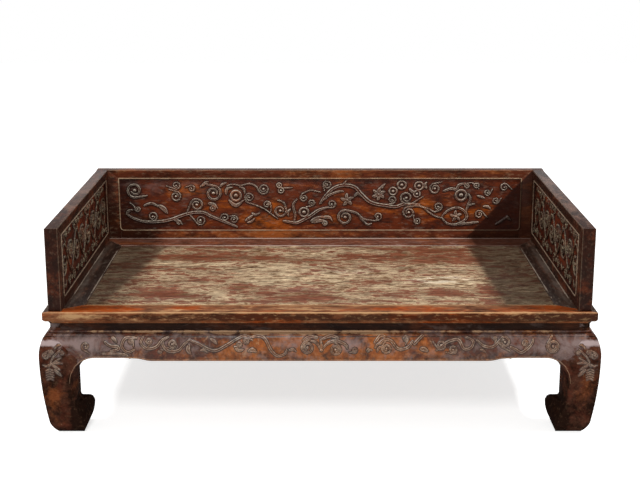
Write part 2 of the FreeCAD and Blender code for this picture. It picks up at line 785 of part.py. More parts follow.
class Railing:
    """Sizes of one railing: its length, stiles, the square part of each stile's head and the
    plan corners with an eased arris, counted from the inner corner at the first end."""

    def __init__(self, length, stiles, squares, eased_corners):
        self.length = length
        self.stiles = stiles
        self.squares = squares
        self.eased_corners = eased_corners
        self.inner_top = railing_top - top_rail_height
        self.inner_bottom = seat_height + bottom_rail_height

    def plate(self):
        """Full plate of the frame with its top and end arrises eased."""
        thick = railing_thickness
        low_ease = railing_top - arris_ease
        section = [
            (0, 0, seat_height), (0, 0, low_ease), (0, arris_ease, railing_top),
            (0, thick - arris_ease, railing_top), (0, thick, low_ease), (0, thick, seat_height),
        ]
        plate = prism(section, Vec(self.length, 0, 0))
        return plate.common(prism(self.plan(), Vec(0, 0, railing_height)))

    def plan(self):
        """Plan outline of the frame, with the eased corners cut off."""
        corners = [
            Vec(0, 0, seat_height), Vec(self.length, 0, seat_height),
            Vec(self.length, railing_thickness, seat_height), Vec(0, railing_thickness, seat_height),
        ]
        outline = []
        for number, corner in enumerate(corners):
            if number not in self.eased_corners:
                outline.append(corner)
                continue
            for neighbour in (corners[number - 1], corners[number + 1 - len(corners)]):
                outline.append(corner + (neighbour - corner).normalize() * arris_ease)
        return outline

    def opening(self, gap):
        """Low and high corners of the panel's opening, larger by a gap, without thickness."""
        return (
            (self.stiles[0] - gap, self.inner_bottom - gap),
            (self.length - self.stiles[1] + gap, self.inner_top + gap),
        )

    def frame(self):
        """Plate without the panel's opening and groove."""
        low, high = self.opening(0)
        hole = box((low[0], -cut_overrun, low[1]), (high[0], railing_thickness + cut_overrun, high[1]))
        low, high = self.opening(panel_tongue_length + joint_clearance)
        groove = box(
            (low[0], panel_recess, low[1]),
            (high[0], panel_recess + panel_tongue_thickness + joint_clearance, high[1]),
        )
        return self.plate().cut([hole, groove])

    def stile_outline(self, end):
        """Front outline of a stile, with its mitred head, as X and Z pairs."""
        width = self.stiles[end]
        square = self.squares[end]
        points = [(0, seat_height), (width, seat_height), (width, self.inner_top)]
        points.append((square, railing_top))
        if square > 0:
            points.append((0, railing_top))
        if end == 1:
            points = [(self.length - x, z) for x, z in points]
        return points

    def slab(self, points):
        """Prism over a front outline, through the whole thickness."""
        outline = [(x, 0, z) for x, z in points]
        return prism(outline, Vec(0, railing_thickness, 0))

    def tenon_face(self):
        """Low and high Y of the tenons inside the frame."""
        return rail_tenon_inset, rail_tenon_inset + rail_tenon_thickness

    def mitre_tenon(self, end, gap):
        """Tenon of the top rail that enters a stile's head behind the mitre."""
        y_low, y_high = self.tenon_face()
        width = self.stiles[end]
        base = self.inner_top + panel_tongue_length + 2 * joint_clearance
        reach = min(mitre_tenon_length, width - self.squares[end] - joint_clearance)
        run = width - self.squares[end]
        mitre_x = width - run * (base - self.inner_top) / top_rail_height
        near = mitre_x - reach * rail_tenon_height / top_rail_height
        low = (near - gap, y_low - gap, base - gap)
        high = (mitre_x, y_high + gap, base + rail_tenon_height + gap)
        return self.at_end(box(low, high), end)

    def bottom_tenon(self, end, gap):
        """Tenon of the bottom rail that enters a stile."""
        y_low, y_high = self.tenon_face()
        width = self.stiles[end]
        top = self.inner_bottom - panel_tongue_length - 2 * joint_clearance
        low = (width - rail_tenon_length - gap, y_low - gap, top - rail_tenon_height - gap)
        high = (width, y_high + gap, top + gap)
        return self.at_end(box(low, high), end)

    def at_end(self, shape, end):
        """A piece drawn at the first end, mirrored to the second where asked."""
        if end == 0:
            return shape
        return shape.mirror(Vec(self.length / 2, 0, 0), ALONG)

    def foot_tenon(self, centre, gap):
        """Tenon below the railing, let into the seat frame."""
        y_low = (railing_thickness - foot_tenon_thickness) / 2
        half = foot_tenon_width / 2
        low = (centre - half - gap, y_low - gap, seat_height - foot_tenon_depth - gap)
        high = (centre + half + gap, y_low + foot_tenon_thickness + gap, seat_height)
        return box(low, high)

    def foot_places(self):
        """Centres of the tenons below each stile."""
        first = self.squares[0] + (self.stiles[0] - self.squares[0]) / 2
        last = self.length - self.squares[1] - (self.stiles[1] - self.squares[1]) / 2
        if self.squares[1] == 0:
            last = self.length - rear_tenon_setback - foot_tenon_width / 2
        return first, last

    def middle_places(self):
        """Centres of the tenons below the bottom rail."""
        centre = self.length / 2
        if self.squares[1] == 0:
            return [centre]
        return [centre - middle_tenon_share * centre, centre + middle_tenon_share * centre]

    def stile(self, end):
        """A stile with its mitred head, mortises and the tenon below it."""
        holes = [self.mitre_tenon(end, joint_clearance), self.bottom_tenon(end, joint_clearance)]
        body = self.frame().common(self.slab(self.stile_outline(end))).cut(holes)
        return body.fuse(self.foot_tenon(self.foot_places()[end], 0)).removeSplitter()

    def top_rail(self):
        """The top rail with its mitred ends and the tenons behind them."""
        points = [
            (self.squares[0], railing_top), (self.length - self.squares[1], railing_top),
            (self.length - self.stiles[1], self.inner_top), (self.stiles[0], self.inner_top),
        ]
        body = self.frame().common(self.slab(points))
        return body.fuse([self.mitre_tenon(0, 0), self.mitre_tenon(1, 0)]).removeSplitter()

    def bottom_rail(self):
        """The bottom rail between the stiles, with its end and foot tenons."""
        points = [
            (self.stiles[0], seat_height), (self.length - self.stiles[1], seat_height),
            (self.length - self.stiles[1], self.inner_bottom), (self.stiles[0], self.inner_bottom),
        ]
        body = self.frame().common(self.slab(points))
        tenons = [self.bottom_tenon(0, 0), self.bottom_tenon(1, 0)]
        tenons += [self.foot_tenon(x, 0) for x in self.middle_places()]
        return body.fuse(tenons).removeSplitter()

    def panel(self):
        """Floating panel: a thick field and a thinner tongue all round, in the frame's groove."""
        low, high = self.opening(-panel_gap)
        field = box((low[0], panel_recess, low[1]), (high[0], panel_recess + panel_thickness, high[1]))
        low, high = self.opening(panel_tongue_length)
        tongue = box(
            (low[0], panel_recess, low[1]),
            (high[0], panel_recess + panel_tongue_thickness, high[1]),
        )
        return field.fuse(tongue).removeSplitter()

    def mortises(self):
        """Room for every foot tenon, for the seat frame."""
        places = list(self.foot_places()) + self.middle_places()
        return [self.foot_tenon(x, joint_clearance) for x in places]


back_railing = Railing(
    back_length,
    (back_stile_width, back_stile_width),
    (railing_thickness, railing_thickness),
    (2, 3),
)
side_railing = Railing(
    side_length,
    (front_stile_width, rear_stile_width),
    (0, 0),
    (0, 3),
)


def to_back(shape):
    """A railing piece carried to the back of the seat."""
    result = shape.copy()
    result.translate(Vec(side_inset - half_length, back_face, 0))
    return result


def to_left(shape):
    """A railing piece carried to the left side of the seat."""
    result = shape.copy()
    result.rotate(ORIGIN, UP, 90)
    result.translate(Vec(side_inset + railing_thickness - half_length, front_inset - half_depth, 0))
    return result


def to_right(shape):
    """A railing piece carried to the right side, as the left one's mirror image."""
    return to_left(shape).mirror(ORIGIN, ALONG)


def railing_mortises():
    """Room in the seat frame for the tenons below the three railings."""
    cuts = [to_back(m) for m in back_railing.mortises()]
    cuts += [to_left(m) for m in side_railing.mortises()]
    cuts += [to_right(m) for m in side_railing.mortises()]
    return cuts


def key_lifts():
    """Heights of the dovetail keys above the seat."""
    return key_low_lift, key_high_lift


def key_shape(x_sign, lift):
    """One key: a square root in the back stile and a dovetail head in front of it."""
    x = x_sign * (half_length - side_inset - railing_thickness / 2)
    base = seat_height + lift
    root = box(
        (x - key_root_width / 2, back_face, base),
        (x + key_root_width / 2, back_face + key_root_depth, base + key_height),
    )
    tip = back_face - key_reach
    outline = [
        (x - key_neck / 2, back_face, base), (x + key_neck / 2, back_face, base),
        (x + key_head / 2, tip, base), (x - key_head / 2, tip, base),
    ]
    return root.fuse(prism(outline, Vec(0, 0, key_height))).removeSplitter()


def railing_keys():
    """The four keys, two at each end of the back railing."""
    keys = [key_shape(x_sign, lift) for x_sign in (-1, 1) for lift in key_lifts()]
    return Part.makeCompound(keys)


def key_groove():
    """Groove in a side railing's rear end, open below and closed above the upper key."""
    y = railing_thickness / 2
    neck = key_neck / 2 + joint_clearance
    head = key_head / 2 + joint_clearance
    face = side_railing.length + joint_clearance
    tip = side_railing.length - key_reach
    low = seat_height - cut_overrun
    top = seat_height + key_high_lift + key_height + joint_clearance
    outline = [(face, y - neck, low), (face, y + neck, low), (tip, y + head, low), (tip, y - head, low)]
    return prism(outline, Vec(0, 0, top - low))


def key_mortises(x_sign):
    """Mortises in a back stile for the roots of its two keys."""
    x = x_sign * (half_length - side_inset - railing_thickness / 2)
    cuts = []
    for lift in key_lifts():
        base = seat_height + lift
        cuts.append(box(
            (x - key_root_width / 2, back_face - cut_overrun, base),
            (x + key_root_width / 2, back_face + key_root_depth, base + key_height),
        ))
    return cuts


def railings():
    """All pieces of the three railings and their keys."""
    pieces = {
        "back_top_rail": to_back(back_railing.top_rail()),
        "back_bottom_rail": to_back(back_railing.bottom_rail()),
        "back_left_stile": to_back(back_railing.stile(0)).cut(key_mortises(-1)),
        "back_right_stile": to_back(back_railing.stile(1)).cut(key_mortises(1)),
        "back_panel": to_back(back_railing.panel()),
        "railing_keys": railing_keys(),
    }
    side_pieces = {
        "top_rail": side_railing.top_rail(),
        "bottom_rail": side_railing.bottom_rail(),
        "front_stile": side_railing.stile(0),
        "rear_stile": side_railing.stile(1).cut(key_groove()),
        "panel": side_railing.panel(),
    }
    for name, shape in side_pieces.items():
        pieces["left_%s" % name] = to_left(shape)
        pieces["right_%s" % name] = to_right(shape)
    return pieces


def build():
    """Every piece of the bed by the name of its node."""
    pieces = {}
    pieces.update(seat_frame())
    pieces.update(seat_boards())
    pieces.update(seat_battens())
    pieces.update(waist_strips())
    pieces.update(aprons())
    pieces.update(legs())
    pieces.update(railings())
    return pieces


for node, solid in build().items():
    solid.exportStep("parts/%s.step" % node)
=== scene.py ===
"""Finish, carving and studio for a luohan daybed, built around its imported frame."""

import logging
import math
from dataclasses import dataclass, field, replace
from enum import Enum
from typing import Any, Callable, Sequence

import bmesh
import bpy
import numpy as np
from mathutils import Matrix, Vector
from mathutils.bvhtree import BVHTree


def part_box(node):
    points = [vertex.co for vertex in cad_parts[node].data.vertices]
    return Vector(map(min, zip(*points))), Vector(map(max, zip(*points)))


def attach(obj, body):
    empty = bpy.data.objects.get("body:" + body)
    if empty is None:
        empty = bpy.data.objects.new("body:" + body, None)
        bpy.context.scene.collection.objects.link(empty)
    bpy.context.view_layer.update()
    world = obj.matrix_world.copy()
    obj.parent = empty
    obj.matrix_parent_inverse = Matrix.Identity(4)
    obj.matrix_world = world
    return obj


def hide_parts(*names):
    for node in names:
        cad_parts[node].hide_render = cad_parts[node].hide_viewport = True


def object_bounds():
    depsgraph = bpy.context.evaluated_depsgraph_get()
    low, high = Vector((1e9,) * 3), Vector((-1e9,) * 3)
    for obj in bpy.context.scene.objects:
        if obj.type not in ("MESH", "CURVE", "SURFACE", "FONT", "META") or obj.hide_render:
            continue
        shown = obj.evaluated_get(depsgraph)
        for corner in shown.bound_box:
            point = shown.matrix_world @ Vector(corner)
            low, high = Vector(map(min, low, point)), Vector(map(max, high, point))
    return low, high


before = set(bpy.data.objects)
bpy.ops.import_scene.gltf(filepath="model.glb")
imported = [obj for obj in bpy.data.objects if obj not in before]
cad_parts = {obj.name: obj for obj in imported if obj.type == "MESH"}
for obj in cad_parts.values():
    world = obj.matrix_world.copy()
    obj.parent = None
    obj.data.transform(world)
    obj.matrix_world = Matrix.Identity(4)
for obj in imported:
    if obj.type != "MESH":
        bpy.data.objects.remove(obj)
cad_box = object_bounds()

MM = 0.001
WEAR_AND_HIGHLIGHT = "worn"
GRIME_AND_SHADE = "grime_and_shade"
UP = Vector((0, 0, 1))
ALONG = Vector((1, 0, 0))
BACKWARD = Vector((0, 1, 0))
WHITE = (1, 1, 1, 1)
log = logging.getLogger("daybed")

Colour = tuple[float, float, float, float]
Spot = tuple[float, float]
Tree = bpy.types.NodeTree
Socket = bpy.types.NodeSocket
Material = bpy.types.Material
BMesh = bmesh.types.BMesh
Piece = bpy.types.Object


# Shader helpers

RANGE = ("Value", "From Min", "From Max", "To Min", "To Max")
NOISE = ("Vector", "Scale", "Detail", "Roughness", "Distortion")
ISLAND_CORE = 0.25
ISLAND_RIM = 1.15
IOR = 1.5


def linear(code: str) -> Colour:
    """Turns an sRGB hex code into the linear colour that a socket takes.

    Args:
        code: six hex digits, such as "8a643c".

    Returns:
        Red, green, blue and an alpha of 1.
    """
    channels = []
    for start in (0, 2, 4):
        value = int(code[start:start + 2], 16) / 255
        channels.append(value / 12.92 if value <= 0.04045 else ((value + 0.055) / 1.055) ** 2.4)
    return (*channels, 1.0)


def add(tree: Tree, kind: str, inputs: dict[str | int, Any] | None = None, **settings: Any) -> bpy.types.Node:
    """Adds a node, sets it up and links it.

    Args:
        tree: the node tree that takes the node.
        kind: the node's type name.
        inputs: for each input, by name or index, an output socket to link or a value to hold.
        settings: attributes of the node.

    Returns:
        The new node.
    """
    node = tree.nodes.new(kind)
    for name, value in settings.items():
        setattr(node, name, value)
    for name, value in (inputs or {}).items():
        if isinstance(value, Socket):
            tree.links.new(value, node.inputs[name])
        else:
            node.inputs[name].default_value = value
    return node


def add_rows(tree: Tree, kind: str, names: Sequence[str], rows: Sequence[Sequence[Any]]) -> list[Socket]:
    """Adds a node for each row of a table.

    Args:
        tree: the node tree that takes the nodes.
        kind: their type name.
        names: the inputs that the table's columns stand for.
        rows: one row of sockets and values for each node.

    Returns:
        The first output of each node.
    """
    return [add(tree, kind, dict(zip(names, row))).outputs[0] for row in rows]


def emptied(owner: Material | bpy.types.World) -> Tree:
    """Empties a node tree.

    Args:
        owner: a new material or world.

    Returns:
        Its tree, without nodes.
    """
    owner.use_nodes = True
    owner.node_tree.nodes.clear()
    return owner.node_tree


class Grain(Enum):
    """The way that the wood's grain runs, with how much a pattern is drawn out along it."""

    ALONG_X = (0.14, 1.0, 1.0)
    ALONG_Y = (1.0, 0.14, 1.0)
    MOTTLED = (0.7, 0.7, 0.7)


@dataclass(frozen=True)
class Island:
    """A place where the surface leans towards one colour, as an ellipsoid in millimetres."""

    centre: tuple[float, float, float]
    reach: tuple[float, float, float]
    pull: float


def islands(*rows: Sequence[float]) -> tuple[Island, ...]:
    """Makes islands from rows that hold a centre, a reach and a pull."""
    return tuple(Island(row[:3], row[3:6], row[6]) for row in rows)


def leaning(tree: Tree, place: Socket, base: Socket, spots: Sequence[Island]) -> Socket:
    """Raises a pattern's value near some islands.

    Args:
        tree: the material's tree.
        place: Object coordinates.
        base: the pattern before.
        spots: where it rises, or sinks when the pull is negative.

    Returns:
        The pattern with the islands added.
    """
    total = base
    for island in spots:
        local = add(tree, "ShaderNodeMapping", {
            "Vector": place, "Location": [at * MM for at in island.centre],
            "Scale": [reach * MM for reach in island.reach],
        }, vector_type="TEXTURE")
        away = add(tree, "ShaderNodeVectorMath", {0: local.outputs[0]}, operation="LENGTH")
        rise = add(tree, "ShaderNodeMapRange", {
            "Value": away.outputs["Value"], "From Min": ISLAND_CORE, "From Max": ISLAND_RIM,
            "To Min": island.pull, "To Max": 0.0,
        }, interpolation_type="SMOOTHSTEP")
        total = add(tree, "ShaderNodeMath", {0: total, 1: rise.outputs[0]}, operation="ADD").outputs[0]
    return total


@dataclass(frozen=True)
class ShadowEdge:
    """A straight edge of a painted shadow, beyond which the surface is darker, as a plane in millimetres."""

    way: tuple[float, float, float]
    first: float
    full: float
    share: float


def with_painted_shadow(tree: Tree, place: Socket, colour: Socket, dark: str, edges: Sequence[ShadowEdge]) -> Socket:
    """Paints a shadow onto a colour beyond some edges.

    Args:
        tree: the material's tree.
        place: Object coordinates.
        colour: the colour before.
        dark: the colour of the painted shadow, as six hex digits.
        edges: where the painted shadow lies.

    Returns:
        The colour after.
    """
    for edge in edges:
        along = add(tree, "ShaderNodeVectorMath", {0: place, 1: edge.way}, operation="DOT_PRODUCT")
        share = add(tree, "ShaderNodeMapRange", {
            "Value": along.outputs["Value"], "From Min": edge.first * MM, "From Max": edge.full * MM,
            "To Max": edge.share,
        }, interpolation_type="SMOOTHSTEP").outputs[0]
        colour = add(tree, "ShaderNodeMixRGB", {
            "Fac": share, "Color1": colour, "Color2": linear(dark),
        }).outputs[0]
    return colour


@dataclass(frozen=True)
class OldLacquer:
    """Brushed red-brown lacquer on hardwood, old and worn by use.

    It gives the eye a deep, uneven red-brown with orange where it has thinned, near-black
    dirty hollows with painted shade, bare pale wood along the arrises and on carved crests,
    where it also stands for a painted highlight, a pale bloom that in places is a painted
    highlight and sheen, painted shadow beyond some edges, and a satin gloss. Its brush marks
    and pores are finer than a pixel, so streaks and flecks are drawn as coarse as they show.
    """

    name: str
    coat: str
    glow: str
    shade: str
    rubbed: str
    grain: Grain
    glow_level: float = 0.56
    shade_level: float = 0.44
    rubbed_level: float = 0.72
    glow_islands: tuple[Island, ...] = ()
    rubbed_islands: tuple[Island, ...] = ()
    shade_islands: tuple[Island, ...] = ()
    deep: str = "6e2a14"
    deep_share: float = 0.0
    # Pale bloom; in its islands it also paints a highlight and sheen.
    bloom_and_sheen: str = "7c6a64"
    bloom_and_sheen_level: float = 0.64
    bloom_and_sheen_share: float = 0.5
    bloom_and_sheen_islands: tuple[Island, ...] = ()
    # Edges of a painted shadow.
    edges: tuple[ShadowEdge, ...] = ()
    wear_gap: float = 0.4
    patch_mm: float = 90.0
    mottle_mm: float = 34.0
    fleck_mm: float = 11.0
    streak_mm: float = 5.0
    speckle: float = 0.28
    dirt_and_shade_share: float = 0.88
    roughness: float = 0.4
    specular: float = 0.12
    gloss: float = 0.06
    gloss_roughness: float = 0.25

    def material(self) -> Material:
        """Builds the material.

        Returns:
            A new material that reads Object coordinates and the worn and grime attributes.
        """
        material = bpy.data.materials.new(self.name)
        tree = emptied(material)
        place = add(tree, "ShaderNodeTexCoord").outputs["Object"]
        half = [math.sqrt(share) for share in self.grain.value]
        drawn = add(tree, "ShaderNodeMapping", {"Vector": place, "Scale": self.grain.value}).outputs[0]
        half_drawn = add(tree, "ShaderNodeMapping", {"Vector": place, "Scale": half}).outputs[0]
        beside = add(tree, "ShaderNodeMapping", {
            "Vector": half_drawn, "Location": (3.1, 1.7, 0.9),
        }).outputs[0]
        patches, mottle, flecks, streaks, bloom = add_rows(tree, "ShaderNodeTexNoise", NOISE, (
            (half_drawn, 1 / (self.patch_mm * MM), 6.0, 0.62, 0.6),
            (half_drawn, 1 / (self.mottle_mm * MM), 8.0, 0.68, 0.3),
            (half_drawn, 1 / (self.fleck_mm * MM), 5.0, 0.7, 0.0),
            (drawn, 1 / (self.streak_mm * MM), 4.0, 0.6, 0.0),
            (beside, 2 / (self.patch_mm * MM), 7.0, 0.68, 0.5),
        ))
        # Worn arrises, which on carving also hold a painted highlight, and dirty hollows with painted shade.
        edge, dirt_and_shade = (
            add(tree, "ShaderNodeAttribute", attribute_name=name).outputs["Fac"] for name in (WEAR_AND_HIGHLIGHT, GRIME_AND_SHADE)
        )

        # Where each colour shows, from 0 to 1: the value, its low and high ends, and what they turn into.
        warm = add(tree, "ShaderNodeMath", {
            0: flecks, 1: 0.25, 2: patches,
        }, operation="MULTIPLY_ADD").outputs[0]
        warm = add(tree, "ShaderNodeMath", {0: warm, 1: 0.125}, operation="SUBTRACT").outputs[0]
        warm = leaning(tree, place, warm, self.glow_islands)
        dull = leaning(tree, place, mottle, self.shade_islands)
        bare = leaning(tree, place, mottle, self.rubbed_islands)
        # Pale bloom, which in its islands is also a painted highlight and sheen.
        bloom_and_sheen_pattern = leaning(tree, place, bloom, self.bloom_and_sheen_islands)
        glow, deep, dark, streak, specks, bloom_and_sheen, broken, bare = add_rows(tree, "ShaderNodeMapRange", RANGE, (
            (warm, self.glow_level - 0.06, self.glow_level + 0.1, 0.0, 1.0),
            (bloom, 0.4, 0.5, self.deep_share, 0.0),
            (dull, self.shade_level - 0.1, self.shade_level + 0.1, 0.85, 0.0),
            (streaks, 0.3, 0.7, 0.72, 1.24),
            (flecks, 0.54, 0.7, 0.0, self.speckle),
            (bloom_and_sheen_pattern, self.bloom_and_sheen_level - 0.08, self.bloom_and_sheen_level + 0.2, 0.0, self.bloom_and_sheen_share),
            (flecks, 0.36, 0.56, self.wear_gap, 1.0),
            (bare, self.rubbed_level - 0.05, self.rubbed_level + 0.07, 0.0, 0.85),
        ))
        edge = add(tree, "ShaderNodeMath", {0: edge, 1: broken}, operation="MULTIPLY").outputs[0]
        bare = add(tree, "ShaderNodeMath", {0: bare, 1: edge}, operation="MAXIMUM", use_clamp=True).outputs[0]
        dirt_and_shade = add(tree, "ShaderNodeMath", {
            0: dirt_and_shade, 1: self.dirt_and_shade_share,
        }, operation="MULTIPLY", use_clamp=True).outputs[0]

        # The colours, laid one over another, with the streaks between the thinned coat and its wear.
        coat = linear(self.coat)
        # The shade colour also gives painted shade in some of its islands, the pale bloom a painted highlight
        # and sheen in its islands, and the last layer dirty hollows with painted shade.
        for share, colour in (
            (glow, self.glow), (deep, self.deep), (dark, self.shade), (streak, None), (specks, self.rubbed),
            (bloom_and_sheen, self.bloom_and_sheen), (bare, self.rubbed), (dirt_and_shade, self.shade),
        ):
            if colour is None:
                coat = add(tree, "ShaderNodeVectorMath", {0: coat, 3: share}, operation="SCALE").outputs[0]
            else:
                coat = add(tree, "ShaderNodeMixRGB", {
                    "Fac": share, "Color1": coat, "Color2": linear(colour),
                }).outputs[0]
        # Painted shadow beyond the straight edges.
        coat = with_painted_shadow(tree, place, coat, self.shade, self.edges)

        rough = add(tree, "ShaderNodeMapRange", {
            "Value": bare, "To Min": self.roughness, "To Max": self.roughness + 0.22,
        }).outputs[0]
        unevenness = add(tree, "ShaderNodeMath", {0: streaks, 1: mottle}, operation="ADD").outputs[0]
        bump = add(tree, "ShaderNodeBump", {
            "Height": unevenness, "Strength": 0.5, "Distance": 0.8 * MM,
        }).outputs[0]
        shader = add(tree, "ShaderNodeBsdfPrincipled", {
            "Base Color": coat, "Roughness": rough, "Normal": bump, "IOR": IOR,
            "Specular IOR Level": self.specular, "Coat Weight": self.gloss,
            "Coat Roughness": self.gloss_roughness,
        })
        add(tree, "ShaderNodeOutputMaterial", {"Surface": shader.outputs[0]})
        return material


@dataclass(frozen=True)
class RubbedBoards:
    """Bare boards whose lacquer is worn through by use.

    The eye sees scrubbed, bleached wood with fine lengthwise streaks and dark cracks, islands
    of red-brown lacquer left between them, and a painted grey shadow of the railings at the
    ends. The wood's fibres are finer than a pixel, so the streaks are drawn as coarse as they show.
    """

    name: str
    bare: str
    bleached: str
    lacquer: str
    lacquer_dark: str
    # Colour of the painted shadow at the ends.
    end_shadow: str
    chalk: str
    islands: tuple[Island, ...]
    chalk_islands: tuple[Island, ...]
    # Edges of the painted shadow at the ends.
    ends: tuple[ShadowEdge, ...]
    level: float = 0.55
    chalk_level: float = 0.66
    patch_mm: float = 120.0
    fleck_mm: float = 30.0
    streak_mm: float = 9.0
    crack_mm: float = 18.0
    fleck_weight: float = 2.2
    specular: float = 0.05

    def material(self) -> Material:
        """Builds the material.

        Returns:
            A new material that reads Object coordinates and the grime attribute.
        """
        material = bpy.data.materials.new(self.name)
        tree = emptied(material)
        place = add(tree, "ShaderNodeTexCoord").outputs["Object"]
        drawn, half_drawn, long_drawn = add_rows(tree, "ShaderNodeMapping", ("Vector", "Scale"), (
            (place, (0.12, 1, 1)), (place, (0.42, 1, 1)), (place, (0.05, 1, 1)),
        ))
        patches, flecks, streaks, cracks = add_rows(tree, "ShaderNodeTexNoise", NOISE, (
            (half_drawn, 1 / (self.patch_mm * MM), 9.0, 0.7, 0.5),
            (half_drawn, 1 / (self.fleck_mm * MM), 8.0, 0.72, 0.4),
            (drawn, 1 / (self.streak_mm * MM), 5.0, 0.65, 0.0),
            (long_drawn, 1 / (self.crack_mm * MM), 3.0, 0.6, 0.2),
        ))
        dirt_and_shade = add(tree, "ShaderNodeAttribute", attribute_name=GRIME_AND_SHADE).outputs["Fac"]

        left = leaning(tree, place, patches, self.islands)
        mixed = add(tree, "ShaderNodeMath", {0: flecks, 1: -0.5}, operation="ADD").outputs[0]
        left = add(tree, "ShaderNodeMath", {
            0: mixed, 1: self.fleck_weight, 2: left,
        }, operation="MULTIPLY_ADD").outputs[0]
        chalky = leaning(tree, place, flecks, self.chalk_islands)
        pale, chalky, left, streak, crack = add_rows(tree, "ShaderNodeMapRange", RANGE, (
            (flecks, 0.4, 0.62, 0.0, 1.0),
            (chalky, self.chalk_level - 0.05, self.chalk_level + 0.08, 0.0, 0.8),
            (left, self.level - 0.03, self.level + 0.05, 0.0, 0.92),
            (streaks, 0.34, 0.66, 0.3, 1.36),
            (cracks, 0.33, 0.39, 0.8, 0.0),
        ))
        dark = linear(self.lacquer_dark)
        red, wood = add_rows(tree, "ShaderNodeMixRGB", ("Fac", "Color1", "Color2"), (
            (flecks, dark, linear(self.lacquer)), (pale, linear(self.bare), linear(self.bleached)),
        ))
        for share, colour in ((chalky, linear(self.chalk)), (left, red)):
            wood = add(tree, "ShaderNodeMixRGB", {"Fac": share, "Color1": wood, "Color2": colour}).outputs[0]
        wood = add(tree, "ShaderNodeVectorMath", {0: wood, 3: streak}, operation="SCALE").outputs[0]
        wood = add(tree, "ShaderNodeMixRGB", {"Fac": crack, "Color1": wood, "Color2": dark}).outputs[0]
        # Painted shadow of the side railings at the ends.
        wood = with_painted_shadow(tree, place, wood, self.end_shadow, self.ends)
        wood = add(tree, "ShaderNodeMixRGB", {"Fac": dirt_and_shade, "Color1": wood, "Color2": dark}).outputs[0]

        rough = add(tree, "ShaderNodeMapRange", {"Value": left, "To Min": 0.62, "To Max": 0.4}).outputs[0]
        unevenness = add(tree, "ShaderNodeMath", {0: streaks, 1: left}, operation="ADD").outputs[0]
        bump = add(tree, "ShaderNodeBump", {
            "Height": unevenness, "Strength": 0.4, "Distance": 0.7 * MM,
        }).outputs[0]
        shader = add(tree, "ShaderNodeBsdfPrincipled", {
            "Base Color": wood, "Roughness": rough, "Normal": bump, "IOR": IOR,
            "Specular IOR Level": self.specular,
        })
        add(tree, "ShaderNodeOutputMaterial", {"Surface": shader.outputs[0]})
        return material


# Wooden pieces

def to_object(bm: BMesh, name: str, material: Material) -> Piece:
    """Makes an object at the origin from a mesh in work, and frees that mesh.

    Args:
        bm: the mesh in work, in metres and in place.
        name: the piece's name.
        material: its finish.

    Returns:
        The new object, linked to the scene.
    """
    mesh = bpy.data.meshes.new(name)
    bm.to_mesh(mesh)
    bm.free()
    mesh.materials.append(material)
    piece = bpy.data.objects.new(name, mesh)
    bpy.context.scene.collection.objects.link(piece)
    return piece


def settle(piece: Piece, body: str) -> Piece:
    """Gives a finished piece its body, and reports it.

    Args:
        piece: the finished piece.
        body: the body that it rides on.

    Returns:
        The piece.
    """
    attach(piece, body)
    log.info("%s: %d faces", piece.name, len(piece.data.polygons))
    return piece


def dress(node: str, material: Material) -> None:
    """Gives one of the frame's solids its finish.

    Args:
        node: the solid's name.
        material: the finish.
    """
    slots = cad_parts[node].data.materials
    slots.clear()
    slots.append(material)


def span(node: str) -> tuple[Vector, Vector]:
    """Gives the low and high corners of a solid, in millimetres."""
    low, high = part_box(node)
    return low / MM, high / MM


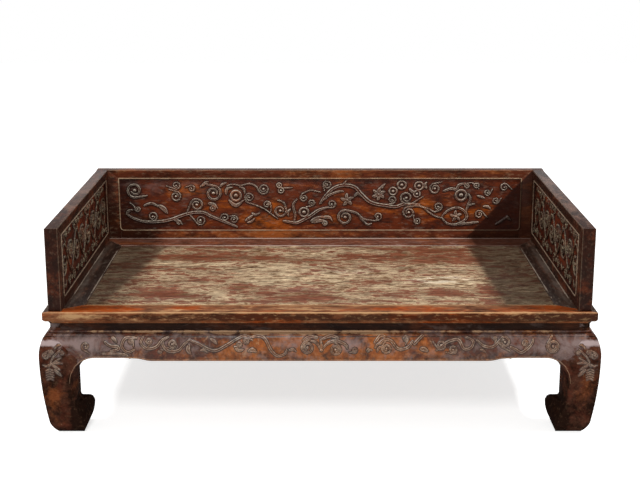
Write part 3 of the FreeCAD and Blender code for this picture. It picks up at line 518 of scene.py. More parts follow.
@dataclass
class Joiner:
    """Makes finished copies of the frame's wooden pieces, with eased and rubbed arrises."""

    sharp_degrees: float = 27.0
    flat_degrees: float = 0.4
    merge_mm: float = 0.01
    eased_flat_mm: float = 4.2
    eased_turn_degrees: float = 35.0
    eased_side_share: float = 0.6
    eased_wear: float = 0.75

    def mesh(self, node: str) -> BMesh:
        """Copies a node's mesh, with its loose triangles merged into whole faces.

        Args:
            node: the node's name.

        Returns:
            The copy, in place.
        """
        bm = bmesh.new()
        bm.from_mesh(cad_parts[node].data)
        bmesh.ops.remove_doubles(bm, verts=bm.verts, dist=self.merge_mm * MM)
        bmesh.ops.recalc_face_normals(bm, faces=bm.faces)
        bmesh.ops.dissolve_limit(
            bm, angle_limit=math.radians(self.flat_degrees), verts=bm.verts, edges=bm.edges,
            use_dissolve_boundaries=False,
        )
        return bm

    def ease(self, bm: BMesh, arris_mm: float, wear: float) -> None:
        """Eases the sharp arrises and marks them as worn.

        Args:
            bm: the mesh in work.
            arris_mm: width of the bevel.
            wear: how far the arrises are rubbed through, from 0 to 1.
        """
        worn = bm.faces.layers.float.get(WEAR_AND_HIGHLIGHT) or bm.faces.layers.float.new(WEAR_AND_HIGHLIGHT)
        turn = math.radians(self.eased_turn_degrees)
        for face in bm.faces:
            face.smooth = True
            longest = max(edge.calc_length() for edge in face.edges)
            narrow = face.calc_area() / longest < self.eased_flat_mm * MM
            turned = [
                edge for edge in face.edges
                if edge.calc_length() > self.eased_side_share * longest
                and edge.is_manifold and edge.calc_face_angle(0) > turn
            ]
            if narrow and len(turned) > 1:
                face[worn] = self.eased_wear * wear
        limit = math.radians(self.sharp_degrees)
        edges = [
            edge for edge in bm.edges
            if edge.is_manifold and edge.is_convex and edge.calc_face_angle(0) > limit
        ]
        made = bmesh.ops.bevel(
            bm, geom=edges, offset=arris_mm * MM, offset_type="OFFSET", segments=2, profile=0.5,
            affect="EDGES", material=-1, clamp_overlap=True,
        )
        for face in made["faces"]:
            face[worn] = wear
            face.smooth = True
        for edge in bm.edges:
            edge.smooth = not edge.is_manifold or edge.calc_face_angle(0) < limit

    def piece(self, node: str, slot: str, material: Material, body: str, arris_mm: float,
              wear: float, shape: Callable[[BMesh], None] | None = None) -> Piece:
        """Makes the finished copy that stands for a node.

        Args:
            node: the node's name.
            slot: the record's material slot; not used.
            material: the finish.
            body: the body that it rides on.
            arris_mm: width of the eased arrises.
            wear: how far they are rubbed through, from 0 to 1.
            shape: a last change to the mesh, if any.

        Returns:
            The finished piece.
        """
        bm = self.mesh(node)
        self.ease(bm, arris_mm, wear)
        if shape:
            shape(bm)
        result = to_object(bm, f"{node}_wood", material)
        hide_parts(node)
        return settle(result, body)


# Carving

# Where a ray starts, in metres; how far carving reaches back into the wood; and the least
# cosine at which a face still takes carving.
RAY_START = 1.5
BACK_MM = 1.0
FACING = 0.5
CREASE_DEGREES = 50.0
BEAD_SIDES = 10
MITRE_LEAST = 0.5

# Strokes: a distance beyond all others and a stroke's reach, both in half widths, the least
# square of a step's length, and the points of a spiral's turn and of a bud's ring.
FAR = 9.0
STROKE_REACH = 1.5
TINY = 1e-9
SPIRAL_POINTS = 30
RING_POINTS = 25

# Shares of the radius of a curl, bud or flower, and the least sizes in millimetres.
TAIL = 1.6
WIND_IN = 0.55
SCROLL_KNOB = 0.2
BUD_BAND = 0.36
BUD_BAND_LEAST = 6.0
BUD_KNOB = 0.34
FAN_KNOB = 0.22
LEAF_LEAST = 1.2
RIB_HALF = 1.5


def circled(centre: Spot, away: Any, angle: Any) -> np.ndarray:
    """Gives points round a centre, from their distances and angles."""
    return np.column_stack([centre[0] + away * np.cos(angle), centre[1] + away * np.sin(angle)])


def smooth_path(points: Sequence[Spot], step: float = 3.0) -> np.ndarray:
    """Draws a smooth line through some points.

    Args:
        points: the points, in millimetres.
        step: distance between the line's own points.

    Returns:
        An array of points, two numbers each.
    """
    ends = [points[0], *points, points[-1]]
    line = []
    for before, start, end, after in zip(ends, ends[1:], ends[2:], ends[3:]):
        before, start, end, after = (np.array(p, float) for p in (before, start, end, after))
        count = max(2, int(np.hypot(*(end - start)) / step))
        for share in np.arange(count) / count:
            line.append(0.5 * (
                2 * start + (end - before) * share
                + (2 * before - 5 * start + 4 * end - after) * share ** 2
                + (3 * start - before - 3 * end + after) * share ** 3
            ))
    line.append(np.array(points[-1], float))
    return np.array(line)


@dataclass
class Relief:
    """A carving's heights over a flat net of points, in millimetres, raised stroke by stroke."""

    low: Spot
    high: Spot
    cell: float
    tall: float
    sunk: float = 1.6
    hollow: float = 0.62
    crest: float = 6.5
    # How dark the hollows and the ground round the carving get; part of that is painted shade.
    dirt_and_shade: float = 7.0
    # How much slopes count: a painted highlight where they face up, painted shade where they face down.
    highlight_and_shade_lean: float = 0.5
    band_share: float = 0.26
    band_low: float = 6.0
    band_high: float = 11.0
    dish_share: float = 0.62
    proud_share: float = 0.1
    # The darkest points: dirty hollows, the ground round the carving with its painted shadow, and the painted
    # shade under slopes that face down.
    dirt_and_shade_most: float = 0.95
    ground_most: float = 0.9
    under_shade_most: float = 0.6
    even_wear: float = 0.62
    ringed: np.ndarray | None = None
    counts: tuple[int, int] = field(init=False)
    u: np.ndarray = field(init=False)
    v: np.ndarray = field(init=False)
    height: np.ndarray = field(init=False)

    def __post_init__(self) -> None:
        """Lays out the net."""
        self.counts = tuple(int(round((b - a) / self.cell)) for a, b in zip(self.low, self.high))
        self.u = np.linspace(self.low[0], self.high[0], self.counts[0] + 1)
        self.v = np.linspace(self.low[1], self.high[1], self.counts[1] + 1)
        self.height = np.full((self.counts[0] + 1, self.counts[1] + 1), -self.sunk)

    def window(self, corner: np.ndarray, opposite: np.ndarray) -> tuple[slice, slice]:
        """Finds the part of the net between two corners.

        Args:
            corner: the low corner.
            opposite: the high corner.

        Returns:
            Slices of the net along both its ways.
        """
        first = np.searchsorted(self.u, corner[0]), np.searchsorted(self.v, corner[1])
        last = np.searchsorted(self.u, opposite[0]), np.searchsorted(self.v, opposite[1])
        return slice(first[0], last[0] + 1), slice(first[1], last[1] + 1)

    def stroke(self, path: np.ndarray, half: np.ndarray, tall: np.ndarray, hollow: float) -> None:
        """Raises a rounded band along a path, with a hollow along its middle.

        Args:
            path: the band's middle line.
            half: half its width at each point.
            tall: its height at each point.
            hollow: depth of the hollow, as a share of the height.
        """
        near = np.full(self.height.shape, FAR)
        top = np.zeros(self.height.shape)
        for start, end, w0, w1, h0, h1 in zip(path, path[1:], half, half[1:], tall, tall[1:]):
            reach = STROKE_REACH * max(w0, w1) + self.cell
            part = self.window(np.minimum(start, end) - reach, np.maximum(start, end) + reach)
            u = self.u[part[0], None]
            v = self.v[None, part[1]]
            if not u.size or not v.size:
                continue
            way = end - start
            share = ((u - start[0]) * way[0] + (v - start[1]) * way[1]) / max(way @ way, TINY)
            share = np.clip(share, 0, 1)
            away = np.hypot(u - start[0] - share * way[0], v - start[1] - share * way[1])
            away = away / (w0 + (w1 - w0) * share)
            closer = away < near[part]
            near[part] = np.where(closer, away, near[part])
            top[part] = np.where(closer, h0 + (h1 - h0) * share, top[part])
        dish = hollow * np.clip(1 - (near / self.dish_share) ** 2, 0, None)
        self.height = np.maximum(self.height, top * (1 - near ** 4 - dish))

    def stem(self, points: Sequence[Spot], width: float, thin: float = 0.4) -> None:
        """Carves a stem through some points.

        Args:
            points: where it runs.
            width: its full width, in millimetres.
            thin: its ends' width, as a share of the full one.
        """
        path = smooth_path(points)
        swell = np.sin(np.pi * np.linspace(0, 1, len(path))) ** 0.4
        self.stroke(path, width / 2 * (thin + (1 - thin) * swell),
                    self.tall * (0.75 + 0.25 * swell), self.hollow)

    def scroll(self, points: Sequence[Spot], centre: Spot, radius: float, turns: float = 1.2) -> None:
        """Carves a tendril that runs through some points and then curls in round a bud.

        Args:
            points: where the tendril runs.
            centre: the bud's place.
            radius: outer radius of the curl.
            turns: how many turns it makes, negative for clockwise.
        """
        width = min(max(radius * self.band_share, self.band_low), self.band_high)
        wide = radius - width / 2
        last = np.array(points[-1], float) - centre
        touch = math.atan2(last[1], last[0])
        touch += math.copysign(math.acos(wide / max(math.hypot(*last), wide)), turns)
        share = np.linspace(0, 1, int(abs(turns) * SPIRAL_POINTS))
        angle = touch + math.tau * turns * share
        spiral = circled(centre, wide * (1 - WIND_IN * share ** 1.3), angle)
        path = np.vstack([smooth_path([*points, tuple(spiral[0])]), spiral[1:]])
        swell = np.sin(np.pi * np.linspace(0.04, 0.9, len(path))) ** 0.5
        self.stroke(path, width / 2 * (0.45 + 0.55 * swell), self.tall * (0.8 + 0.2 * swell), self.hollow)
        self.knob(centre, radius * SCROLL_KNOB)

    def curl(self, centre: Spot, radius: float, start: float = 90, turns: float = 1.2) -> None:
        """Carves a loose curl with a short tail.

        Args:
            centre: the bud's place.
            radius: outer radius of the curl.
            start: direction of the tail's end from the centre, in degrees.
            turns: how many turns it makes, negative for clockwise.
        """
        tail = circled(centre, TAIL * radius, math.radians(start))[0]
        self.scroll([tuple(tail)], centre, radius, turns)

    def bud(self, centre: Spot, radius: float) -> None:
        """Carves a round bud: a ring round a knob.

        Args:
            centre: the bud's place.
            radius: its outer radius.
        """
        width = max(radius * BUD_BAND, BUD_BAND_LEAST)
        path = circled(centre, radius - width / 2, np.linspace(0, math.tau, RING_POINTS))
        even = np.ones(RING_POINTS)
        self.stroke(path, even * width / 2, even * self.tall * 0.9, self.hollow * 0.5)
        self.knob(centre, radius * BUD_KNOB)

    def knob(self, centre: Spot, radius: float) -> None:
        """Carves a small round knob."""
        path = np.array([centre, centre], float)
        self.stroke(path, np.full(2, radius), np.full(2, self.tall), 0.0)

    def leaf(self, points: Sequence[Spot], width: float) -> None:
        """Carves a pointed leaf along a line, hollowed on both sides of its rib.

        Args:
            points: where its rib runs.
            width: its full width, in millimetres.
        """
        path = smooth_path(points, 2.0)
        swell = np.sin(np.pi * np.linspace(0, 1, len(path)) ** 0.8) ** 0.8
        self.stroke(path, np.maximum(width / 2 * swell, LEAF_LEAST), self.tall * (0.55 + 0.4 * swell), 0.6)
        self.stroke(path, np.full(len(path), RIB_HALF), self.tall * (0.35 + 0.35 * swell), 0.0)

    def fan(self, centre: Spot, radius: float, start: float, end: float, petals: int) -> None:
        """Carves petals that spread from a knob.

        Args:
            centre: the knob's place.
            radius: length of the petals.
            start: direction of the first petal, in degrees.
            end: direction of the last petal.
            petals: number of petals.
        """
        width = 2.3 * radius * math.sin(math.radians(abs(end - start)) / 2 / max(1, petals - 1))
        for angle in np.radians(np.linspace(start, end, petals)):
            way = np.array([math.cos(angle), math.sin(angle)])
            bend = np.array([-way[1], way[0]]) * radius * 0.08
            middle = np.array(centre) + way * radius * 0.6 + bend
            tip = np.array(centre) + way * radius
            self.leaf([tuple(np.array(centre) + way * radius * 0.2), tuple(middle), tuple(tip)],
                      min(width, radius * 0.5))
        self.knob(centre, radius * FAN_KNOB)

    def rosette(self, centre: Spot, radius: float, petals: int = 6) -> None:
        """Carves a flower with petals all round."""
        self.fan(centre, radius, 20, 380 - 360 / petals, petals)

    def ring(self, level: float) -> None:
        """Keeps a strip of dirty ground with painted shade, one cell wide, round all that stands proud.

        Args:
            level: height of the strip, in millimetres.
        """
        proud = self.height > level
        grown = np.any([np.roll(proud, way, axis) for way in (1, -1) for axis in (0, 1)], axis=0)
        self.ringed = grown & ~proud
        self.height = np.where(self.ringed, level, self.height)

    def levels(self) -> tuple[np.ndarray, np.ndarray]:
        """Works out how worn and how dirty each point of the net is, with painted highlight and painted
        shade.

        Returns:
            Two arrays between 0 and 1: crests that cloths rub, with a painted highlight where they face up,
            and dirty hollows, with painted shade round the carving and where it faces down.
        """
        shown = np.maximum(self.height, 0)
        around = (np.roll(shown, 1, 0) + np.roll(shown, -1, 0)
                  + np.roll(shown, 1, 1) + np.roll(shown, -1, 1)) / 4
        step = (shown - around) / self.tall
        wide = sum(np.roll(around, shift, axis) for shift in (-2, 2) for axis in (0, 1)) / 4
        low = self.proud_share * self.tall
        # The ground round the carving darkens: dirty, with a painted shadow.
        ground = np.clip(wide * self.dirt_and_shade / self.tall, 0, self.ground_most) * (shown < low)
        hollow = np.maximum(np.clip(-step * self.dirt_and_shade, 0, self.dirt_and_shade_most), ground)
        if self.ringed is not None:
            hollow = np.where(self.ringed, self.dirt_and_shade_most, hollow)
        # Slopes that face up take a painted highlight, those that face down painted shade.
        upward = np.clip((np.roll(shown, 1, 1) - np.roll(shown, -1, 1)) / self.cell * self.highlight_and_shade_lean, -1, 1)
        hollow = np.maximum(hollow, np.clip(-upward, 0, self.under_shade_most) * (shown > low))
        return np.clip(step * self.crest, 0, 1) * (self.even_wear + (1 - self.even_wear) * upward), hollow


@dataclass
class CarvedFace:
    """A face that takes carving: flat, or found on a wooden piece by looking at it square on."""

    origin: Vector
    along: Vector
    outward: Vector
    tree: BVHTree | None = None

    def point(self, u: float, v: float, height: float) -> Vector | None:
        """Finds a point of the carving.

        Args:
            u: place along the face, in millimetres.
            v: height above the floor, in millimetres.
            height: height above the face, in millimetres.

        Returns:
            The point in metres, or None beside the face.
        """
        flat = self.origin + self.along * (u * MM) + UP * (v * MM)
        if self.tree is None:
            return flat + self.outward * (height * MM)
        hit, normal = self.tree.ray_cast(flat + self.outward * RAY_START, -self.outward, RAY_START)[:2]
        if hit is None or normal.dot(self.outward) < FACING:
            return None
        return hit + normal * (height * MM)


def seen_face(pieces: Sequence[Piece], along: Vector, outward: Vector) -> CarvedFace:
    """Makes a face of some finished pieces, seen square on.

    Args:
        pieces: the pieces, each at the origin.
        along: direction of the face's first way.
        outward: where the face looks.

    Returns:
        The face.
    """
    bm = bmesh.new()
    for piece in pieces:
        bm.from_mesh(piece.data)
    bmesh.ops.triangulate(bm, faces=bm.faces)
    tree = BVHTree.FromBMesh(bm)
    bm.free()
    return CarvedFace(Vector((0, 0, 0)), along, outward, tree)


def carve(name: str, relief: Relief, face: CarvedFace, material: Material, whole: bool,
          rubbed_and_lit_share: float) -> Piece:
    """Turns a relief into a closed piece on its face.

    Args:
        name: the piece's name.
        relief: the heights.
        face: where they are laid.
        material: the finish.
        whole: True keeps the ground between the carving, False only what stands proud.
        rubbed_and_lit_share: how strongly its crests are rubbed and carry a painted highlight, from 0 to 1.

    Returns:
        The carved piece.
    """
    relief.height[[0, -1], :] = -relief.sunk
    relief.height[:, [0, -1]] = -relief.sunk
    bm = bmesh.new()
    across, tall = relief.counts
    bmesh.ops.create_grid(bm, x_segments=across, y_segments=tall, size=0.5)
    worn = bm.verts.layers.float.new(WEAR_AND_HIGHLIGHT)
    grime_and_shade = bm.verts.layers.float.new(GRIME_AND_SHADE)
    crest, hollow = relief.levels()
    lost = set()
    low = set()
    for vert in bm.verts:
        i = int(round((vert.co.x + 0.5) * across))
        j = int(round((vert.co.y + 0.5) * tall))
        height = relief.height[i, j]
        if whole:
            height = max(height, 0.0)
        elif height <= 0:
            low.add(vert)
        place = face.point(relief.u[i], relief.v[j], height)
        if place is None:
            lost.add(vert)
            continue
        vert.co = place
        # Wear with a painted highlight on the crests, and dirty hollows with painted shade.
        vert[worn] = crest[i, j] * rubbed_and_lit_share
        vert[grime_and_shade] = hollow[i, j]
    if not whole:
        spare = [f for f in bm.faces if all(v in low for v in f.verts) or any(v in lost for v in f.verts)]
        bmesh.ops.delete(bm, geom=spare, context="FACES")
    if bm.faces:
        bm.normal_update()
        if sum(f.normal.dot(face.outward) for f in bm.faces) < 0:
            bmesh.ops.reverse_faces(bm, faces=bm.faces)
    rim = [edge for edge in bm.edges if edge.is_boundary]
    made = bmesh.ops.extrude_edge_only(bm, edges=rim)["geom"]
    bmesh.ops.translate(bm, verts=[g for g in made if isinstance(g, bmesh.types.BMVert)],
                        vec=-face.outward * (BACK_MM * MM))
    bmesh.ops.holes_fill(bm, edges=[g for g in made if isinstance(g, bmesh.types.BMEdge)], sides=0)
    bmesh.ops.recalc_face_normals(bm, faces=bm.faces)
    for f in bm.faces:
        f.smooth = True
    for edge in bm.edges:
        edge.smooth = not edge.is_manifold or edge.calc_face_angle(0) < math.radians(CREASE_DEGREES)
    return to_object(bm, name, material)


def bead(name: str, path: Sequence[Vector], normals: Sequence[Vector], width_mm: float,
         proud_mm: float, closed: bool, wear: float, material: Material, taper: int = 0) -> Piece:
    """Runs a half-round bead along a path, mitred at its corners.

    Args:
        name: the piece's name.
        path: the middle line, on the wood's face.
        normals: the face's outward direction at each point.
        width_mm: width of the bead.
        proud_mm: how far it stands proud.
        closed: True joins the end to the start.
        wear: how far the bead is rubbed through, from 0 to 1.
        material: the finish.
        taper: number of points over which an open bead thins out at both ends.

    Returns:
        The bead.
    """
    count = len(path)
    places = []
    for number, (spot, normal) in enumerate(zip(path, normals)):
        before = path[number - 1] if number > 0 or closed else spot
        after = path[(number + 1) % count] if number < count - 1 or closed else spot
        coming = (spot - before if before != spot else after - spot).normalized()
        going = (after - spot if after != spot else spot - before).normalized()
        way = (coming + going).normalized()
        thin = min(1.0, (number + 1) / (taper + 1), (count - number) / (taper + 1))
        side = way.cross(normal).normalized() * (thin * width_mm * MM / 2 / max(MITRE_LEAST, way.dot(going)))
        columns = (side, normal * (thin * proud_mm * MM), way * MM, spot)
        places.append(Matrix([[*(column[row] for column in columns)] for row in range(3)] + [[0, 0, 0, 1]]))
    bm = bmesh.new()
    worn = bm.verts.layers.float.new(WEAR_AND_HIGHLIGHT)
    ring = bmesh.ops.create_circle(bm, segments=BEAD_SIDES, radius=1)["verts"]
    for vert in ring:
        vert[worn] = wear
    first = list(bm.edges)
    edges = first
    bmesh.ops.transform(bm, matrix=places[0], verts=ring)
    for before, after in zip(places, places[1:]):
        made = bmesh.ops.extrude_edge_only(bm, edges=edges)["geom"]
        verts = {part for part in made if isinstance(part, bmesh.types.BMVert)}
        bmesh.ops.transform(bm, matrix=after @ before.inverted(), verts=list(verts))
        edges = [
            part for part in made if isinstance(part, bmesh.types.BMEdge) and verts.issuperset(part.verts)
        ]
    if closed:
        bmesh.ops.bridge_loops(bm, edges=first + edges)
    else:
        bmesh.ops.holes_fill(bm, edges=first + edges, sides=0)
    bmesh.ops.recalc_face_normals(bm, faces=bm.faces)
    for face in bm.faces:
        face.smooth = True
    return to_object(bm, name, material)


# Finishes of this bed

# The edge of the painted shade that stands for the one the right railing casts on the back one.
RAILING_SHADOW = ShadowEdge((0.734, 0.0, -0.679), 153.0, 161.0, 0.8)
# Warm red-brown, orange in places, with worn arrises, painted shade on the top, the left stile and the bottom
# rail's left end, and the right railing's painted shadow.
RAILING_LACQUER = OldLacquer(
    "railing_frame_lacquer", coat="5a2b1a", glow="8c4c24", shade="28130c", rubbed="a08a70",
    grain=Grain.ALONG_X, glow_level=0.54, shade_level=0.43, rubbed_level=0.72, gloss=0.03,
    specular=0.06, bloom_and_sheen="7a5a4c", bloom_and_sheen_level=0.68,
    glow_islands=islands((-250, 520, 490, 600, 60, 24, 0.12)),
    # Painted shade on the top rail's top, the left stile and the left of the bottom rail.
    shade_islands=islands(
        (0, 546, 779, 1400, 80, 5, -0.3), (-950, 530, 630, 80, 90, 240, -0.26),
        (-880, 530, 485, 210, 90, 46, -0.3),
    ),
    # The right railing's painted shadow.
    edges=(RAILING_SHADOW,),
)
# Nearly black, as painted shade on the sides, which face away from the light, with pale tan patches on the
# top.
SIDE_RAILING_LACQUER = OldLacquer(
    "side_railing_lacquer", coat="2b140c", glow="522614", shade="140a06", rubbed="8f7a66",
    grain=Grain.ALONG_Y, glow_level=0.57, shade_level=0.44, rubbed_level=0.74, speckle=0.14,
    specular=0.05, gloss=0.02, bloom_and_sheen="8c6856", bloom_and_sheen_level=0.7,
    glow_islands=tuple(Island((sign * 956, -545, 560), (50, 40, 80), 0.16) for sign in (-1, 1)),
    bloom_and_sheen_islands=tuple(Island((sign * 956, 0, 778), (60, 800, 10), 0.2) for sign in (-1, 1)),
)
# Deep red-brown ground with orange glow, under pale crests that are rubbed and carry a painted highlight,
# with painted shade in the left corner and the right railing's painted shadow.
BACK_GROUND = OldLacquer(
    "back_panel_lacquer", coat="5a250f", glow="964a10", shade="220d08", rubbed="d4cab6",
    grain=Grain.ALONG_X, glow_level=0.6, shade_level=0.45, rubbed_level=0.95, speckle=0.1,
    mottle_mm=26.0, wear_gap=0.3,
    glow_islands=islands(
        (-290, 530, 545, 130, 200, 45, 0.26), (-180, 530, 620, 60, 200, 80, 0.16),
        (60, 530, 560, 120, 200, 50, 0.1), (500, 530, 600, 300, 200, 60, 0.08),
        (740, 530, 600, 80, 200, 50, 0.12), (-370, 530, 660, 30, 200, 40, 0.3),
        (-430, 530, 700, 60, 200, 40, 0.14), (-760, 530, 690, 150, 200, 70, -0.1),
    ),
    # Painted shade in the left corner.
    shade_islands=islands(
        (-880, 530, 620, 110, 200, 200, -0.18), (-830, 530, 528, 190, 200, 62, -0.3),
    ),
    # The right railing's painted shadow.
    edges=(RAILING_SHADOW,),
    bloom_and_sheen="75605c", bloom_and_sheen_level=0.66,
    bloom_and_sheen_islands=islands(
        (-640, 530, 700, 260, 200, 70, 0.12), (-200, 530, 720, 200, 200, 30, 0.08),
    ),
)
# The same ground, darker and flatter.
SIDE_GROUND = OldLacquer(
    "side_panel_lacquer", coat="3e170c", glow="6c2c14", shade="140805", rubbed="b4a88a",
    grain=Grain.ALONG_Y, glow_level=0.58, shade_level=0.45, rubbed_level=0.95, speckle=0.05,
    specular=0.06, gloss=0.02, bloom_and_sheen_level=0.75, wear_gap=0.0, fleck_mm=16.0,
)
# Handled lacquer, orange and bare brown where people sit down.
FRONT_RAIL_LACQUER = OldLacquer(
    "seat_front_rail_lacquer", coat="7a4d33", glow="984314", shade="2b140c", rubbed="b08a62",
    grain=Grain.ALONG_X, glow_level=0.58, shade_level=0.42, rubbed_level=0.62, speckle=0.5,
    glow_islands=islands(
        (-820, -536, 470, 210, 50, 12, 0.3), (-470, -530, 470, 110, 30, 12, 0.22),
        (820, -536, 470, 260, 50, 12, 0.18), (330, -536, 470, 150, 50, 12, 0.12),
        (310, -590, 454, 80, 16, 12, 0.3), (-860, -590, 446, 160, 24, 20, -0.3),
    ),
    rubbed_islands=islands(
        (-250, -540, 470, 480, 50, 12, 0.08), (-830, -590, 455, 170, 30, 14, 0.19),
        (0, -491, 469, 1100, 6, 12, 0.5), (0, -581, 469, 1300, 6, 4, 0.3),
        (-840, -536, 470, 180, 36, 12, -0.2), (800, -536, 470, 260, 36, 12, -0.14),
        (300, -590, 450, 900, 12, 20, -0.12),
    ),
    shade_islands=islands(
        (0, -594, 450, 6000, 30, 22, -0.2), (-940, -594, 452, 330, 60, 40, 0.2),
        (760, -594, 450, 560, 30, 26, -0.16), (1010, -500, 450, 30, 500, 24, -0.2),
        (560, -536, 470, 90, 50, 12, -0.12),
    ),
    deep="84401e", deep_share=0.45, bloom_and_sheen="8a6248", bloom_and_sheen_level=0.7, specular=0.02, gloss=0.02,
)
# Dull red-brown with two pale rubbed lines and the right railing's painted shadow at its right end.
BACK_RAIL_LACQUER = OldLacquer(
    "seat_back_rail_lacquer", coat="62392a", glow="84451f", shade="2c1710", rubbed="b09c90",
    specular=0.04, gloss=0.02, grain=Grain.ALONG_X, glow_level=0.6, shade_level=0.43,
    rubbed_level=0.66, speckle=0.3,
    rubbed_islands=islands((0, 386, 469, 1100, 5, 12, 0.45), (0, 515, 469, 1300, 9, 12, 0.6)),
    # The right railing's painted shadow.
    edges=(ShadowEdge((1.0, 0.054, 0.0), 690.0, 706.0, 0.6),),
)
# Dusty brown, darker as the railings' painted shade, with pale rubbed lines and a pale bloom with a painted
# sheen along each rail.
SEAT_SIDE_LACQUER = OldLacquer(
    "seat_side_rail_lacquer", coat="3c2a21", glow="5a3526", shade="1e110c", rubbed="8e8072",
    grain=Grain.ALONG_Y, glow_level=0.58, shade_level=0.46, rubbed_level=0.74, speckle=0.3,
    rubbed_islands=tuple(
        Island((sign * x, -40, 469), (4, 620, 12), 0.36) for sign in (-1, 1) for x in (865, 927)
    ),
    shade_islands=tuple(Island((sign * 880, -40, 469), (18, 560, 20), -0.3) for sign in (-1, 1)),
    bloom_and_sheen="6e6259", bloom_and_sheen_level=0.62, bloom_and_sheen_share=0.5, specular=0.03, gloss=0.02,
    # Pale bloom with a painted sheen along each rail.
    bloom_and_sheen_islands=tuple(Island((sign * 914, -40, 469), (17, 620, 20), 0.2) for sign in (-1, 1)),
)
# Near black: painted shade of the recess under the seat's overhang.
WAIST_LACQUER = OldLacquer(
    "waist_lacquer", coat="22110a", glow="3c1e10", shade="100806", rubbed="6c5644",
    grain=Grain.ALONG_X, rubbed_level=0.82, speckle=0.1, specular=0.04, gloss=0.0,
)
# Patchy orange and dark red with a soft gloss, pale bloom patches, and a painted highlight along the bulge's
# top and on the shoulders; painted shade at the waist, on the hoof toes and lower down.
BASE_LACQUER = OldLacquer(
    "apron_lacquer", coat="482b20", glow="90501f", shade="1c0f0a", rubbed="a48262",
    grain=Grain.MOTTLED, glow_level=0.57, shade_level=0.44, rubbed_level=0.68, speckle=0.22,
    streak_mm=14.0, roughness=0.42, specular=0.05, gloss=0.26, gloss_roughness=0.26, deep="642a14",
    deep_share=0.5,
    glow_islands=islands(
        (-150, -600, 340, 420, 60, 90, 0.14), (220, -600, 340, 300, 60, 90, 0.14),
        (-880, -600, 330, 200, 200, 130, -0.2), (900, -600, 330, 200, 200, 130, -0.12),
        (-975, -600, 160, 40, 60, 80, 0.08), (960, -600, 180, 50, 60, 80, 0.08),
        (0, 0, 60, 3000, 3000, 110, -0.06),
    ),
    rubbed_islands=islands(
        (-120, -572, 392, 760, 60, 10, 0.3), (-420, -590, 372, 200, 60, 14, 0.08),
        (700, -572, 393, 320, 60, 7, 0.16), (-760, -572, 393, 260, 60, 7, 0.14),
        (0, 0, 120, 3000, 3000, 130, -0.1),
    ),
    # These include painted shade at the waist, on the hoof toes and lower down.
    shade_islands=islands(
        (0, 0, 379, 3000, 3000, 2.5, -0.3), (-880, -560, 60, 40, 90, 90, -0.4),
        (880, -560, 60, 40, 90, 90, -0.4), (0, 0, 90, 3000, 3000, 200, -0.13),
        (0, 0, 430, 3000, 3000, 28, -0.5), (-960, -600, 260, 60, 60, 120, -0.06),
    ),
    bloom_and_sheen="8a7672", bloom_and_sheen_level=0.56, bloom_and_sheen_share=0.7,
    # Pale bloom patches and a painted highlight along the bulge's top and on the shoulders.
    bloom_and_sheen_islands=islands(
        (-800, -590, 354, 330, 60, 34, 0.17), (800, -590, 354, 300, 60, 34, 0.13),
        (-960, -590, 357, 90, 60, 15, 0.2), (960, -590, 357, 90, 60, 15, 0.16),
        (-108, -590, 356, 80, 60, 20, 0.12), (108, -590, 350, 80, 60, 26, 0.12),
        (0, 0, 130, 3000, 3000, 160, -0.2),
    ),
)
# The aprons' lacquer, matt and darker towards the foot, with painted shade there and on the inner sides, and
# a brighter painted highlight on the shoulders.
LEG_LACQUER = replace(
    BASE_LACQUER, name="leg_lacquer", glow="6a3a20", shade="100805", specular=0.0, gloss=0.02, speckle=0.1,
    bloom_and_sheen="a49290", bloom_and_sheen_level=0.6, bloom_and_sheen_share=0.85, deep="4c2014", deep_share=0.5,
    # A brighter painted highlight on the shoulders.
    bloom_and_sheen_islands=islands(
        (-990, -600, 357, 84, 60, 14, 0.34), (-930, -590, 354, 70, 60, 26, 0.1),
        (990, -600, 357, 84, 60, 14, 0.3), (930, -590, 354, 70, 60, 26, 0.08),
        (0, 0, 110, 3000, 3000, 210, -0.24),
    ),
    # More painted shade on the inner sides, eased on the fronts of the lower legs.
    shade_islands=BASE_LACQUER.shade_islands + islands(
        (-800, -560, 110, 88, 200, 170, -0.6), (800, -560, 110, 88, 200, 170, -0.5),
        (-950, -600, 110, 64, 80, 130, 0.1), (950, -600, 110, 64, 80, 130, 0.08),
    ),
)
# Pale stems, rubbed and with a painted highlight where they face up, with black, dirty ground and painted
# shade beside and under them.
CARVED_BASE_LACQUER = OldLacquer(
    "carved_apron_and_leg_lacquer", coat="664230", glow="8d5830", shade="120906", rubbed="d0bca6",
    grain=Grain.MOTTLED, glow_level=0.58, shade_level=0.42, rubbed_level=0.7, speckle=0.3,
    roughness=0.4, specular=0.06, gloss=0.3, wear_gap=0.1,
    glow_islands=islands((0, -600, 340, 600, 60, 90, 0.08)),
    shade_islands=islands((-960, -600, 290, 120, 200, 90, -0.05)),
)
# Thin, dull and plain, where nobody looks.
HIDDEN_LACQUER = OldLacquer(
    "underside_lacquer", coat="46261a", glow="5e3520", shade="21120c", rubbed="7d6350",
    grain=Grain.ALONG_X, roughness=0.55, gloss=0.0,
)
